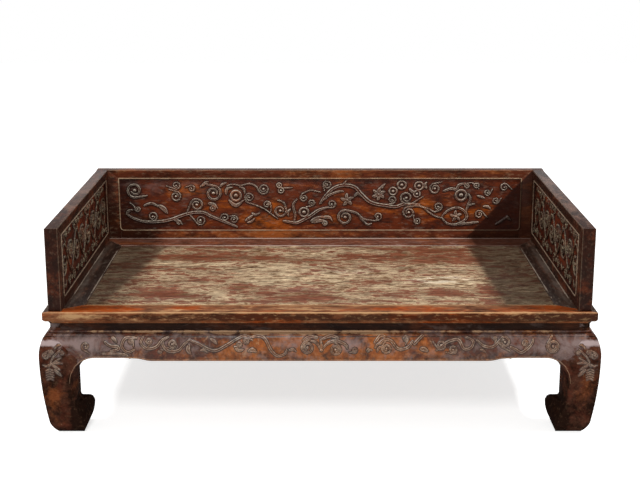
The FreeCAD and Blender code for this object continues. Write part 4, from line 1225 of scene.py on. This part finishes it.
# Scrubbed bare wood, red islands of lacquer and the railings' painted shade at both ends.
SEAT_BOARDS = RubbedBoards(
    "seat_board_wood", bare="6a4a32", bleached="e8d0aa", lacquer="80391f", lacquer_dark="441a0b",
    # The railings' painted shade at both ends: its colour and edges.
    end_shadow="32231a", chalk="e6dac6",
    ends=(ShadowEdge((-1.0, 0.167, 0.0), 700.0, 742.0, 0.62), ShadowEdge((1.0, 0.054, 0.0), 646.0, 672.0, 0.62)),
    islands=islands(
        (-420, 210, 468, 280, 120, 60, 0.2), (-600, -335, 468, 150, 85, 60, 0.24),
        (480, 190, 468, 290, 160, 60, 0.2), (440, 330, 468, 300, 50, 60, 0.14),
        (10, 145, 468, 160, 24, 60, 0.16), (480, -335, 468, 110, 60, 60, 0.22),
        (640, -300, 468, 70, 70, 60, 0.16), (-60, -390, 468, 220, 45, 60, 0.14),
        (20, -440, 468, 700, 24, 60, 0.14), (200, -195, 468, 110, 38, 60, 0.14),
        (-310, -260, 468, 70, 40, 60, 0.12), (-100, 330, 468, 150, 40, 60, 0.1),
        (-150, -90, 468, 430, 130, 60, -0.1), (520, -160, 468, 150, 90, 60, -0.16),
        (-200, 70, 468, 360, 50, 60, -0.06),
    ),
    chalk_islands=islands(
        (-60, -300, 468, 180, 60, 60, 0.16), (-560, -400, 468, 160, 60, 60, 0.16),
        (-30, 330, 468, 130, 60, 60, 0.14), (460, -150, 468, 260, 90, 60, 0.12),
        (100, -20, 468, 260, 70, 60, 0.12),
    ),
)


# Sub-assemblies

# Millimetres. The probes are points off and on the lower edge, from the side's end and the floor.
PANEL_TONGUE = 8.0
STEM_MM = 10.5
APRON_RUN_FROM_END = 196.0
APRON_PROBE = (282.0, 316.0)
LEG_PROBES = (
    (188, 285, 184, 325), (172, 280, 158, 318), (152, 270, 122, 305), (134, 255, 100, 280),
    (122, 238, 88, 245), (112, 218, 78, 218), (108, 202, 74, 202),
)


@dataclass
class Studio:
    """Pale floor, white surroundings, three soft lamps and the camera."""

    camera_place: tuple[float, float, float] = (0.0, -4.9067, 1.827)
    camera_tilt: float = 75.874
    lens: float = 70.84
    sensor: float = 36.0
    floor_half: float = 12.0
    floor_level: float = -0.0005
    light_strength: float = 0.38
    floor_lift: float = 0.7
    fade_start: float = 1.5
    fade_end: float = 4.0
    aim: tuple[float, float, float] = (0.0, 0.0, 0.45)
    lamps: tuple[tuple[str, tuple[float, float, float], float, float], ...] = (
        ("left_lamp", (-3.1, -0.9, 3.6), 0.55, 112), ("right_lamp", (3.0, -0.9, 2.98), 0.28, 104),
        ("front_lamp", (-0.7, -4.2, 3.4), 1.1, 84),
    )

    def build(self) -> None:
        """Builds the studio."""
        self.world()
        self.floor()
        for name, place, size, power in self.lamps:
            self.lamp(name, place, size, power)
        data = bpy.data.cameras.new("camera")
        data.lens = self.lens
        data.sensor_width = self.sensor
        camera = bpy.data.objects.new("camera", data)
        camera.location = self.camera_place
        camera.rotation_euler = (math.radians(self.camera_tilt), 0, 0)
        bpy.context.scene.collection.objects.link(camera)
        bpy.context.scene.camera = camera
        bpy.context.scene.view_settings.view_transform = "Standard"

    def seen(self, tree: Tree) -> Socket:
        """Tells the rays that look at a thing from those that light something.

        Args:
            tree: the tree that takes the nodes.

        Returns:
            1 for camera, glossy and transmission rays, and 0 for the rest.
        """
        path = add(tree, "ShaderNodeLightPath").outputs
        total = path["Is Camera Ray"]
        for ray in ("Is Glossy Ray", "Is Transmission Ray"):
            total = add(tree, "ShaderNodeMath", {0: total, 1: path[ray]}, operation="MAXIMUM").outputs[0]
        return total

    def world(self) -> None:
        """Makes the white surroundings, dimmer as a light than they look."""
        world = bpy.data.worlds.new("studio")
        tree = emptied(world)
        strength = add(tree, "ShaderNodeMapRange", {
            "Value": self.seen(tree), "To Min": self.light_strength, "To Max": 1.0,
        }).outputs[0]
        back = add(tree, "ShaderNodeBackground", {"Color": WHITE, "Strength": strength})
        add(tree, "ShaderNodeOutputWorld", {"Surface": back.outputs[0]})
        bpy.context.scene.world = world

    def floor(self) -> None:
        """Makes the pale floor, which looks white and keeps the bed's shadow."""
        bm = bmesh.new()
        bmesh.ops.create_grid(bm, x_segments=1, y_segments=1, size=self.floor_half)
        bmesh.ops.translate(bm, verts=bm.verts, vec=(0, 0, self.floor_level))
        material = bpy.data.materials.new("matt_white_floor")
        tree = emptied(material)
        paint = add(tree, "ShaderNodeBsdfDiffuse", {"Color": (0.8, 0.8, 0.79, 1)})
        place = add(tree, "ShaderNodeTexCoord").outputs["Object"]
        away = add(tree, "ShaderNodeVectorMath", {0: place}, operation="LENGTH").outputs["Value"]
        fade = add(tree, "ShaderNodeMapRange", {
            "Value": away, "From Min": self.fade_start, "From Max": self.fade_end,
            "To Min": self.floor_lift,
        }).outputs[0]
        shine = add(tree, "ShaderNodeMath", {0: self.seen(tree), 1: fade}, operation="MULTIPLY")
        lift = add(tree, "ShaderNodeEmission", {"Color": WHITE, "Strength": shine.outputs[0]})
        both = add(tree, "ShaderNodeAddShader", {0: paint.outputs[0], 1: lift.outputs[0]})
        add(tree, "ShaderNodeOutputMaterial", {"Surface": both.outputs[0]})
        to_object(bm, "floor", material)

    def lamp(self, name: str, place: tuple[float, float, float], size: float, power: float) -> None:
        """Hangs one square lamp that points at the seat.

        Args:
            name: the lamp's name.
            place: where it hangs, in metres.
            size: length of its side, in metres.
            power: its power, in watts.
        """
        data = bpy.data.lights.new(name, "AREA")
        data.size = size
        data.energy = power
        lamp = bpy.data.objects.new(name, data)
        lamp.location = place
        way = Vector(self.aim) - Vector(place)
        lamp.rotation_euler = way.to_track_quat("-Z", "Y").to_euler()
        bpy.context.scene.collection.objects.link(lamp)


@dataclass
class Railing:
    """One railing: four frame pieces, a carved panel and the bead round it."""

    name: str
    body: str
    pieces: tuple[str, ...]
    along: Vector
    outward: Vector
    frame_finish: OldLacquer
    ground_finish: OldLacquer
    draw: Callable[[Relief], None]
    cell_mm: float = 2.25
    relief_mm: float = 6.5
    rubbed_and_lit_share: float = 1.0
    bead_mm: float = 5.0
    bead_proud_mm: float = 2.4
    bead_corner_mm: float = 16.0
    bead_corner_points: int = 6
    bead_wear: float = 0.75
    carving_lift_mm: float = 0.4
    frame_arris_mm: float = 1.0
    frame_wear: float = 0.25
    band_share: float = 0.26
    band_low_mm: float = 6.0

    def build(self, joiner: Joiner) -> None:
        """Builds the railing's finished pieces.

        Args:
            joiner: makes the finished copies.
        """
        material = self.frame_finish.material()
        for node in self.pieces:
            joiner.piece(node, "railing_frames", material, self.body, self.frame_arris_mm, self.frame_wear)
        ground = self.ground_finish.material()
        panel = f"{self.name}_panel"
        dress(panel, ground)
        low, high = span(panel)
        u_low = self.along.dot(low) + PANEL_TONGUE
        u_high = self.along.dot(high) - PANEL_TONGUE
        v_low = low.z + PANEL_TONGUE
        v_high = high.z - PANEL_TONGUE
        level = max(self.outward.dot(low), self.outward.dot(high))
        relief = Relief((u_low, v_low), (u_high, v_high), self.cell_mm, self.relief_mm,
                        band_share=self.band_share, band_low=self.band_low_mm)
        self.draw(relief)
        face = CarvedFace(self.outward * (level + self.carving_lift_mm) * MM, self.along, self.outward)
        carving = carve(f"{self.name}_carving", relief, face, ground, True, self.rubbed_and_lit_share)
        settle(carving, self.body)
        self.bead_round(u_low, u_high, v_low, v_high, material)

    def bead_round(self, u_low: float, u_high: float, v_low: float, v_high: float,
                   material: Material) -> None:
        """Runs the bead round the panel, rounded at its lower corners.

        Args:
            u_low: the opening's first side.
            u_high: its other side.
            v_low: its lower edge.
            v_high: its upper edge.
            material: the finish.
        """
        low, high = span(self.pieces[-1])
        level = max(self.outward.dot(low), self.outward.dot(high))
        grow = self.bead_mm / 2
        round_mm = self.bead_corner_mm
        spots = [(u_low - grow, v_high + grow), (u_high + grow, v_high + grow)]
        for centre, start in (((u_high + grow - round_mm, v_low - grow + round_mm), 0),
                              ((u_low - grow + round_mm, v_low - grow + round_mm), -90)):
            angles = np.radians(np.linspace(start, start - 90, self.bead_corner_points))
            spots += [tuple(spot) for spot in circled(centre, round_mm, angles)]
        base = self.outward * (level * MM)
        path = [base + self.along * (u * MM) + UP * (v * MM) for u, v in spots]
        ring = bead(f"{self.name}_bead", path, [self.outward] * len(path), self.bead_mm,
                    self.bead_proud_mm, True, self.bead_wear, material)
        settle(ring, self.body)


def draw_back(relief: Relief) -> None:
    """Carves the back panel's scrolling vine, with places read off the photograph.

    Args:
        relief: the heights that take it.
    """
    for points, width in (
        ([(-856, 576), (-826, 558), (-778, 543), (-717, 543), (-663, 552), (-585, 579), (-524, 585),
          (-476, 564), (-403, 534), (-367, 518)], 14),
        ([(-162, 546), (-128, 540), (-107, 537), (-83, 546), (-41, 570), (-6, 595), (38, 608)], 14),
        ([(0, 623), (25, 661), (63, 696), (108, 708), (152, 699), (183, 667), (215, 636), (247, 623),
          (285, 617), (335, 611), (372, 622), (440, 620)], 16),
        ([(0, 626), (38, 661), (82, 679), (104, 680)], 10),
        ([(-113, 546), (-110, 576), (-119, 616), (-102, 645)], 10),
        ([(544, 680), (575, 692), (600, 690), (613, 709), (640, 716)], 12),
        ([(177, 560), (209, 530), (230, 535)], 8),
        ([(540, 565), (562, 590), (600, 606), (632, 596), (650, 570), (640, 548), (600, 530), (562, 536),
          (540, 560)], 11),
        ([(645, 586), (657, 615), (683, 623)], 9),
        ([(590, 529), (638, 533), (702, 541)], 11), ([(655, 668), (664, 645), (650, 612)], 9),
        ([(778, 529), (803, 545), (834, 567)], 8), ([(-778, 615), (-745, 626), (-715, 612)], 10),
    ):
        relief.stem(points, width)
    for points, centre, radius, turns in (
        ([(-765, 660)], (-817, 684), 37, -1.2), ([(-676, 704)], (-633, 706), 20, 1.2),
        ([(-668, 690)], (-636, 657), 25, -1.25), ([(-594, 698)], (-566, 692), 17, -1.0),
        ([(-526, 700), (-508, 712)], (-470, 671), 38, -1.25),
        ([(-592, 574), (-585, 592)], (-545, 619), 31, -1.3),
        ([(-790, 545), (-772, 541)], (-741, 566), 23, 1.2),
        ([(-582, 577), (-566, 562)], (-530, 549), 24, 1.2), ([(-448, 546)], (-422, 561), 20, -1.0),
        ([(-402, 566)], (-382, 553), 20, -1.2),
        ([(-188, 556), (-222, 582), (-246, 600), (-283, 617), (-322, 630)], (-312, 652), 22, -1.3),
        ([(-409, 704), (-385, 712), (-350, 706), (-310, 714), (-282, 702)], (-249, 690), 26, 1.3),
        ([(-222, 580), (-216, 600)], (-234, 620), 18, 1.2),
        ([(-186, 640), (-160, 628)], (-176, 592), 31, -1.1),
        ([(2, 676), (-40, 684), (-72, 672)], (-72, 650), 18, 1.2), ([(-60, 610)], (-38, 628), 17, 1.2),
        ([(20, 680)], (32, 708), 21, -1.3), ([(4, 598), (24, 605)], (52, 622), 20, 1.1),
        ([(228, 548), (190, 556), (160, 582)], (111, 562), 37, 1.25), ([(224, 546)], (256, 566), 20, 1.0),
        ([(455, 656), (430, 640), (405, 624)], (381, 650), 30, -1.2), ([(285, 620)], (318, 641), 20, 1.2),
        ([(536, 722)], (506, 692), 26, 1.25), ([(700, 690), (672, 716)], (648, 704), 14, 1.1),
        ([(540, 560), (510, 567), (480, 586), (455, 608), (425, 613)], (393, 584), 29, 1.3),
        ([(424, 620), (480, 600), (505, 588)], (522, 610), 21, 1.2), ([(415, 572)], (431, 546), 17, 1.2),
        ([(846, 688)], (812, 698), 20, 1.0), ([(742, 560)], (704, 576), 20, 1.15),
        ([(760, 690)], (738, 674), 16, -1.2), ([(800, 650)], (777, 638), 17, -1.1),
        ([(-840, 628), (-822, 612)], (-806, 600), 15, 1.0),
    ):
        relief.scroll(points, centre, radius, turns)
    for centre, radius in (
        ((-180, 707), 13), ((-172, 684), 15), ((-71, 585), 24), ((322, 680), 20), ((360, 708), 22),
        ((436, 704), 22), ((427, 668), 17), ((622, 662), 28), ((689, 706), 13), ((-474, 603), 13),
        ((-626, 540), 11), ((22, 535), 12), ((-371, 660), 27),
    ):
        relief.bud(centre, radius)
    for centre, radius, petals in (((120, 641), 29, 5), ((259, 667), 30, 6), ((602, 567), 26, 5)):
        relief.rosette(centre, radius, petals)
    for points, width in (
        ([(-712, 616), (-690, 600), (-676, 578)], 22), ([(-495, 625), (-470, 620), (-453, 604)], 16),
        ([(-655, 556), (-632, 547), (-610, 530)], 15), ([(-520, 700), (-506, 718), (-490, 724)], 13),
        ([(-160, 696), (-142, 694), (-122, 696)], 9), ([(-332, 545), (-312, 560), (-290, 577)], 13),
        ([(-302, 582), (-284, 574), (-266, 583)], 11), ([(-322, 538), (-303, 544), (-290, 558)], 11),
        ([(102, 710), (112, 722), (119, 731)], 9), ([(150, 655), (165, 670), (180, 655)], 12),
        ([(-42, 545), (-10, 560), (20, 567)], 15), ([(-36, 538), (0, 547), (32, 541)], 16),
        ([(8, 562), (40, 562), (54, 544)], 15), ([(262, 690), (275, 702), (287, 714)], 13),
        ([(394, 692), (410, 676), (430, 684)], 14), ([(694, 660), (712, 654), (728, 648)], 11),
        ([(-440, 700), (-428, 712), (-412, 718)], 12), ([(-130, 600), (-142, 584), (-140, 566)], 11),
        ([(828, 568), (836, 556), (846, 548)], 12), ([(470, 690), (462, 708), (470, 722)], 12),
        ([(-856, 576), (-846, 592), (-828, 596)], 14), ([(722, 612), (742, 610), (756, 598)], 12),
        ([(-402, 640), (-372, 616), (-336, 640)], 17), ([(-414, 664), (-410, 690), (-384, 698)], 13),
        ([(-356, 700), (-336, 690), (-332, 668)], 11),
    ):
        relief.leaf(points, width)


def draw_side(relief: Relief) -> None:
    """Carves a side panel's close vine: a running stem, with a scroll in each of its bends.

    Args:
        relief: the heights that take it.
    """
    low, high = relief.low, relief.high
    rise = high[1] - low[1]
    bends = 8
    step = (high[0] - low[0]) / bends
    middle = (low[1] + high[1]) / 2
    relief.stem([
        (low[0] + 10 + (high[0] - low[0] - 20) * share,
         middle + rise * 0.27 * math.sin(math.pi * bends * share))
        for share in np.linspace(0, 1, 6 * bends + 1)
    ], 10)
    for bend in range(bends):
        side = 1 if bend % 2 == 0 else -1
        start = low[0] + bend * step
        heart = (start + step * 0.52, middle - side * rise * 0.06)
        relief.scroll([
            (start + step * 0.02, middle + side * 4), (start + step * 0.09, middle - side * rise * 0.12),
            (start + step * 0.24, middle - side * rise * 0.2),
        ], heart, 40, side * 1.3)
        if bend % 2:
            relief.rosette(heart, 20, 5)
        far = middle + side * rise * 0.4
        for from_x, from_z, to_x, radius, turns in ((0.3, 0.3, 0.14, 19, 1.2), (0.72, 0.24, 0.9, 21, -1.2)):
            relief.scroll([(start + step * from_x, middle + side * rise * from_z)],
                          (start + step * to_x, far), radius, side * turns)
        near = middle - side * rise * 0.36
        relief.leaf([(start + step * 0.3, near), (start + step * 0.52, near - side * 12),
                     (start + step * 0.74, near + side * 4)], 14)
        relief.bud((start + step * 0.52, middle + side * rise * 0.41), 10)


def draw_front_apron(relief: Relief) -> None:
    """Carves the front apron's vine, with places read off the photograph.

    Args:
        relief: the heights that take it.
    """
    for points in (
        [(-777, 361), (-757, 348), (-731, 345), (-728, 335), (-757, 329)],
        [(-784, 320), (-715, 318), (-695, 312)],
        [(-662, 374), (-702, 374), (-715, 345), (-695, 325), (-669, 335)],
        [(-636, 381), (-646, 358), (-623, 338), (-590, 345), (-570, 368), (-547, 378)],
        [(-547, 378), (-566, 365), (-564, 345), (-544, 329), (-511, 332), (-488, 355), (-472, 368)],
        [(-472, 368), (-439, 355), (-399, 335), (-373, 332), (-334, 352), (-301, 371), (-275, 381),
         (-248, 378)],
        [(-248, 378), (-215, 381), (-196, 368), (-176, 332), (-153, 312), (-127, 319), (-120, 335)],
        [(-62, 366), (-40, 378), (-8, 376)], [(7, 371), (39, 381), (66, 374)],
        [(26, 358), (59, 365), (92, 352), (99, 338)], [(197, 358), (217, 381), (236, 378)],
        [(210, 352), (230, 368), (256, 365), (282, 338), (315, 342), (335, 365)],
        [(338, 352), (360, 374), (374, 384)],
        [(420, 332), (460, 361), (499, 368), (519, 338), (545, 342), (552, 365), (526, 378)],
        [(565, 368), (591, 348), (624, 345), (650, 368)],
        [(686, 345), (706, 335), (729, 325), (762, 352), (769, 371)],
    ):
        relief.stem(points, STEM_MM)
    for x, z, radius, start, turns in (
        (-846, 345, 17, 300, -0.9), (-682, 362, 12, 300, 1.2), (-619, 362, 14, 250, 1.2),
        (-534, 353, 18, 200, 1.4), (-577, 327, 8, 30, 1.0), (-265, 364, 13, 10, 1.2),
        (-292, 352, 12, 200, 1.2), (-45, 342, 25, 60, 1.35), (56, 334, 22, 110, -1.35),
        (125, 332, 12, 200, 1.2), (174, 332, 8, 0, 1.0), (240, 338, 20, 90, 1.35), (309, 372, 12, 270, 1.2),
        (437, 350, 19, 160, 1.35), (480, 334, 17, 200, 1.3), (631, 372, 9, 270, 1.0),
        (667, 361, 23, 300, -1.35), (739, 357, 13, 270, 1.2), (841, 346, 26, 90, 1.6),
    ):
        relief.curl((x, z), radius, start, turns)
    for points, width in (
        ([(-472, 352), (-476, 334), (-466, 318)], 16), ([(-395, 372), (-383, 365), (-372, 354)], 12),
        ([(-432, 330), (-420, 334), (-408, 326)], 10), ([(-258, 328), (-244, 334), (-228, 326)], 16),
        ([(-752, 378), (-742, 370), (-734, 358)], 12), ([(-112, 332), (-98, 336), (-86, 328)], 11),
        ([(362, 338), (376, 336), (390, 328)], 17), ([(578, 336), (588, 332), (598, 326)], 9),
        ([(905, 298), (912, 292), (920, 288)], 6), ([(-306, 338), (-290, 332), (-274, 336)], 12),
    ):
        relief.leaf(points, width)
    for points in (
        [(-34, 366), (-14, 359), (1, 338)], [(5, 336), (5, 352), (1, 370)],
        [(10, 338), (22, 352), (40, 360)], [(199, 340), (207, 353), (224, 357)],
        [(206, 327), (212, 341), (224, 346)],
    ):
        relief.stem(points, 7.5)
    relief.knob((5, 333), 6)


def carried(points: Sequence[Spot], middle: float, sign: int) -> list[Spot]:
    """Carries points from the middle of a side to one of its halves."""
    return [(middle + sign * x, z) for x, z in points]


def draw_side_apron(relief: Relief) -> None:
    """Carves a side apron's vine: waves and curls like the front's, with a fan in the middle.

    Args:
        relief: the heights that take it.
    """
    half = (relief.high[0] - relief.low[0]) / 2
    middle = (relief.high[0] + relief.low[0]) / 2
    for sign in (-1, 1):
        for points in (
            [(20, 360), (50, 378), (85, 372), (110, 345), (150, 330), (190, 345), (215, 368)],
            [(215, 368), (245, 350), (285, 335), (320, 345), (345, 368), (375, 376)],
        ):
            relief.stem(carried(points, middle, sign), STEM_MM)
        for x, z, radius, start, turns in (
            (62, 338, 20, 110, -1.35), (158, 362, 15, 270, 1.3), (238, 330, 12, 60, 1.2),
            (288, 362, 16, 260, 1.3), (half - 40, 345, 17, 90, 1.3),
        ):
            relief.curl((middle + sign * x, z), radius, start if sign > 0 else 180 - start, sign * turns)
        relief.leaf(carried([(110, 372), (122, 366), (134, 356)], middle, sign), 12)
        relief.leaf(carried([(190, 330), (204, 326), (216, 318)], middle, sign), 11)
    relief.fan((middle, 346), 34, 25, 155, 7)


def draw_shoulder(relief: Relief) -> None:
    """Carves the spray on a leg's shoulder: crossed stems, curls and leaves, and a banded bud below.

    Args:
        relief: the heights that take it.
    """
    x = relief.low[0] + 34
    relief.stem([(x - 2, 272), (x + 8, 303), (x + 38, 335)], 6)
    relief.stem([(x - 8, 268), (x + 14, 288), (x + 38, 304)], 6)
    relief.curl((x - 16, 312), 14, 60, 1.2)
    relief.curl((x + 4, 324), 10, 250, -1.1)
    relief.curl((x + 42, 322), 9, 160, -1.2)
    for points, width in (
        ([(x + 6, 281), (x + 22, 286), (x + 42, 283)], 10),
        ([(x + 4, 276), (x + 18, 268), (x + 33, 257)], 10),
        ([(x + 12, 260), (x + 22, 250), (x + 36, 234)], 12),
        ([(x - 6, 279), (x - 15, 272), (x - 27, 276)], 8),
        ([(x + 18, 338), (x + 26, 348), (x + 40, 352)], 8),
    ):
        relief.leaf(points, width)
    for number in range(5):
        wide = 14 - abs(number - 1.5)
        z = 260 - 9 * number
        relief.stem([(x - 5 - wide, z - 5), (x - 5, z), (x - 5 + wide, z - 5)], 6)


@dataclass
class Base:
    """Waist, aprons and legs."""

    pare_mm: float = 2.0
    pare_run_mm: float = 24.0
    relief_mm: float = 2.0
    cell_mm: float = 2.0
    bead_mm: float = 5.0
    bead_proud_mm: float = 1.6
    bead_step_mm: float = 36.0
    bead_margin_mm: float = 0.6
    bead_wear: float = 0.4
    bead_taper: int = 5
    halvings: int = 12
    ring_level_mm: float = 0.2
    sunk_mm: float = 0.8
    arris_mm: float = 0.4
    wear: float = 0.25
    waist_arris_mm: float = 0.5
    waist_wear: float = 0.2
    half_long_mm: float = 1000.0
    half_deep_mm: float = 584.0
    vine_inset_mm: float = 120.0
    vine_low_mm: float = 300.0
    vine_high_mm: float = 388.0
    vine_band_share: float = 0.32
    vine_rubbed_and_lit: float = 0.8
    spray_low: Spot = (-8.0, 210.0)
    spray_high: Spot = (92.0, 362.0)
    spray_rubbed_and_lit: float = 0.6

    def pare(self, bm: BMesh) -> None:
        """Takes the ground back from the bulge, so that the carving stands in the old surface.

        Args:
            bm: the mesh in work.
        """
        low, high = cad_box
        for vert in bm.verts:
            for axis in (0, 1):
                for limit, sign in ((low[axis], 1), (high[axis], -1)):
                    depth = sign * (vert.co[axis] - limit) / MM
                    if depth < self.pare_run_mm:
                        share = 1 - depth / self.pare_run_mm
                        vert.co[axis] += sign * self.pare_mm * MM * share ** 0.5

    def build(self, joiner: Joiner) -> None:
        """Builds the finished pieces below the seat.

        Args:
            joiner: makes the finished copies.
        """
        waist = WAIST_LACQUER.material()
        coat = BASE_LACQUER.material()
        leg = LEG_LACQUER.material()
        carved = CARVED_BASE_LACQUER.material()
        done = {}
        for side in ("front", "back", "left", "right"):
            joiner.piece(f"waist_{side}", "waist", waist, "seat", self.waist_arris_mm, self.waist_wear)
            done[side] = joiner.piece(f"apron_{side}", "apron", coat, "seat", self.arris_mm,
                                      self.wear, self.pare)
        for corner in ("front_left", "front_right", "back_left", "back_right"):
            done[corner] = joiner.piece(f"leg_{corner}", "legs", leg, "seat", self.arris_mm,
                                        self.wear, self.pare)
        for side, along, outward, half, corners, draw in (
            ("front", ALONG, -BACKWARD, self.half_long_mm, ("front_left", "front_right"), draw_front_apron),
            ("back", ALONG, BACKWARD, self.half_long_mm, ("back_left", "back_right"), None),
            ("left", BACKWARD, -ALONG, self.half_deep_mm, ("front_left", "back_left"), draw_side_apron),
            ("right", BACKWARD, ALONG, self.half_deep_mm, ("front_right", "back_right"), draw_side_apron),
        ):
            face = seen_face([done[side]] + [done[corner] for corner in corners], along, outward)
            self.edge_bead(side, face, half, coat)
            if draw is None:
                continue
            run = half - self.vine_inset_mm
            relief = Relief((-run, self.vine_low_mm), (run, self.vine_high_mm), self.cell_mm, self.relief_mm,
                            sunk=self.sunk_mm, band_share=self.vine_band_share)
            draw(relief)
            relief.ring(self.ring_level_mm)
            face = seen_face([done[side]], along, outward)
            carving = carve(f"apron_{side}_carving", relief, face, carved, False, self.vine_rubbed_and_lit)
            settle(carving, "seat")
            view = "front" if side == "front" else "side"
            for corner in corners:
                inward = along if corner == corners[0] else -along
                relief = Relief((self.spray_low[0] - half, self.spray_low[1]),
                                (self.spray_high[0] - half, self.spray_high[1]),
                                self.cell_mm, self.relief_mm, sunk=self.sunk_mm)
                draw_shoulder(relief)
                relief.ring(self.ring_level_mm)
                face = seen_face([done[corner]], inward, outward)
                spray = carve(f"leg_{corner}_{view}_spray", relief, face, carved, False, self.spray_rubbed_and_lit)
                settle(spray, "seat")

    def edge_bead(self, side: str, face: CarvedFace, half: float, material: Material) -> None:
        """Runs the bead along one side's lower edge, from ankle to ankle.

        Args:
            side: the side's name.
            face: the apron and its two legs, seen square on.
            half: half the side's length, in millimetres.
            material: the finish.
        """
        leg = [((half - out, below), (half - deep, above)) for out, below, deep, above in LEG_PROBES]
        run = half - APRON_RUN_FROM_END
        count = int(2 * run / self.bead_step_mm)
        probes = [((-free[0], free[1]), (-solid[0], solid[1])) for free, solid in reversed(leg)]
        probes += [((u, APRON_PROBE[0]), (u, APRON_PROBE[1])) for u in np.linspace(-run, run, count)]
        probes += leg
        path = []
        normals = []
        for free, solid in probes:
            free, solid = np.array(free, float), np.array(solid, float)
            inward = (solid - free) / np.hypot(*(solid - free))
            for turn in range(self.halvings):
                half_way = (free + solid) / 2
                if face.point(*half_way, 0) is None:
                    free = half_way
                else:
                    solid = half_way
            spot = solid + inward * (self.bead_mm / 2 + self.bead_margin_mm)
            base = face.point(*spot, 0)
            if base is None:
                continue
            path.append(base)
            normals.append((face.point(*spot, 1) - base).normalized())
        ring = bead(f"apron_{side}_bead", path, normals, self.bead_mm, self.bead_proud_mm, False,
                    self.bead_wear, material, self.bead_taper)
        settle(ring, "seat")


@dataclass
class Seat:
    """The mitred frame, its boards and the battens below them."""

    boards: int = 5
    battens: int = 4
    rail_arris_mm: float = 1.2
    rail_wear: float = 0.85
    board_arris_mm: float = 0.7
    board_wear: float = 0.3

    def build(self, joiner: Joiner) -> None:
        """Builds the seat's finished pieces.

        Args:
            joiner: makes the finished copies.
        """
        side_rail = SEAT_SIDE_LACQUER.material()
        for side, finish in (
            ("front", FRONT_RAIL_LACQUER.material()), ("back", BACK_RAIL_LACQUER.material()),
            ("left", side_rail), ("right", side_rail),
        ):
            joiner.piece(f"seat_{side}_rail", "seat_frame", finish, "seat", self.rail_arris_mm,
                         self.rail_wear)
        board = SEAT_BOARDS.material()
        for number in range(1, self.boards + 1):
            joiner.piece(f"seat_board_{number}", "seat_boards", board, "seat", self.board_arris_mm,
                         self.board_wear)
        hidden = HIDDEN_LACQUER.material()
        for node in [f"seat_batten_{number}" for number in range(1, self.battens + 1)] + ["railing_keys"]:
            dress(node, hidden)


def main() -> None:
    """Builds the daybed's pieces in order."""
    logging.basicConfig(level=logging.INFO, format="%(message)s")
    joiner = Joiner()
    Studio().build()
    Seat().build(joiner)
    Base().build(joiner)
    names = tuple(f"back_{piece}" for piece in ("top_rail", "left_stile", "right_stile", "bottom_rail"))
    Railing("back", "back_railing", names, ALONG, -BACKWARD, RAILING_LACQUER, BACK_GROUND,
            draw_back).build(joiner)
    for side, outward in (("left", ALONG), ("right", -ALONG)):
        names = tuple(f"{side}_{piece}" for piece in ("top_rail", "front_stile", "rear_stile", "bottom_rail"))
        Railing(side, f"{side}_railing", names, BACKWARD, outward, SIDE_RAILING_LACQUER, SIDE_GROUND,
                draw_side, rubbed_and_lit_share=0.7, band_share=0.2, band_low_mm=5.0).build(joiner)


if __name__ == "__main__":
    main()
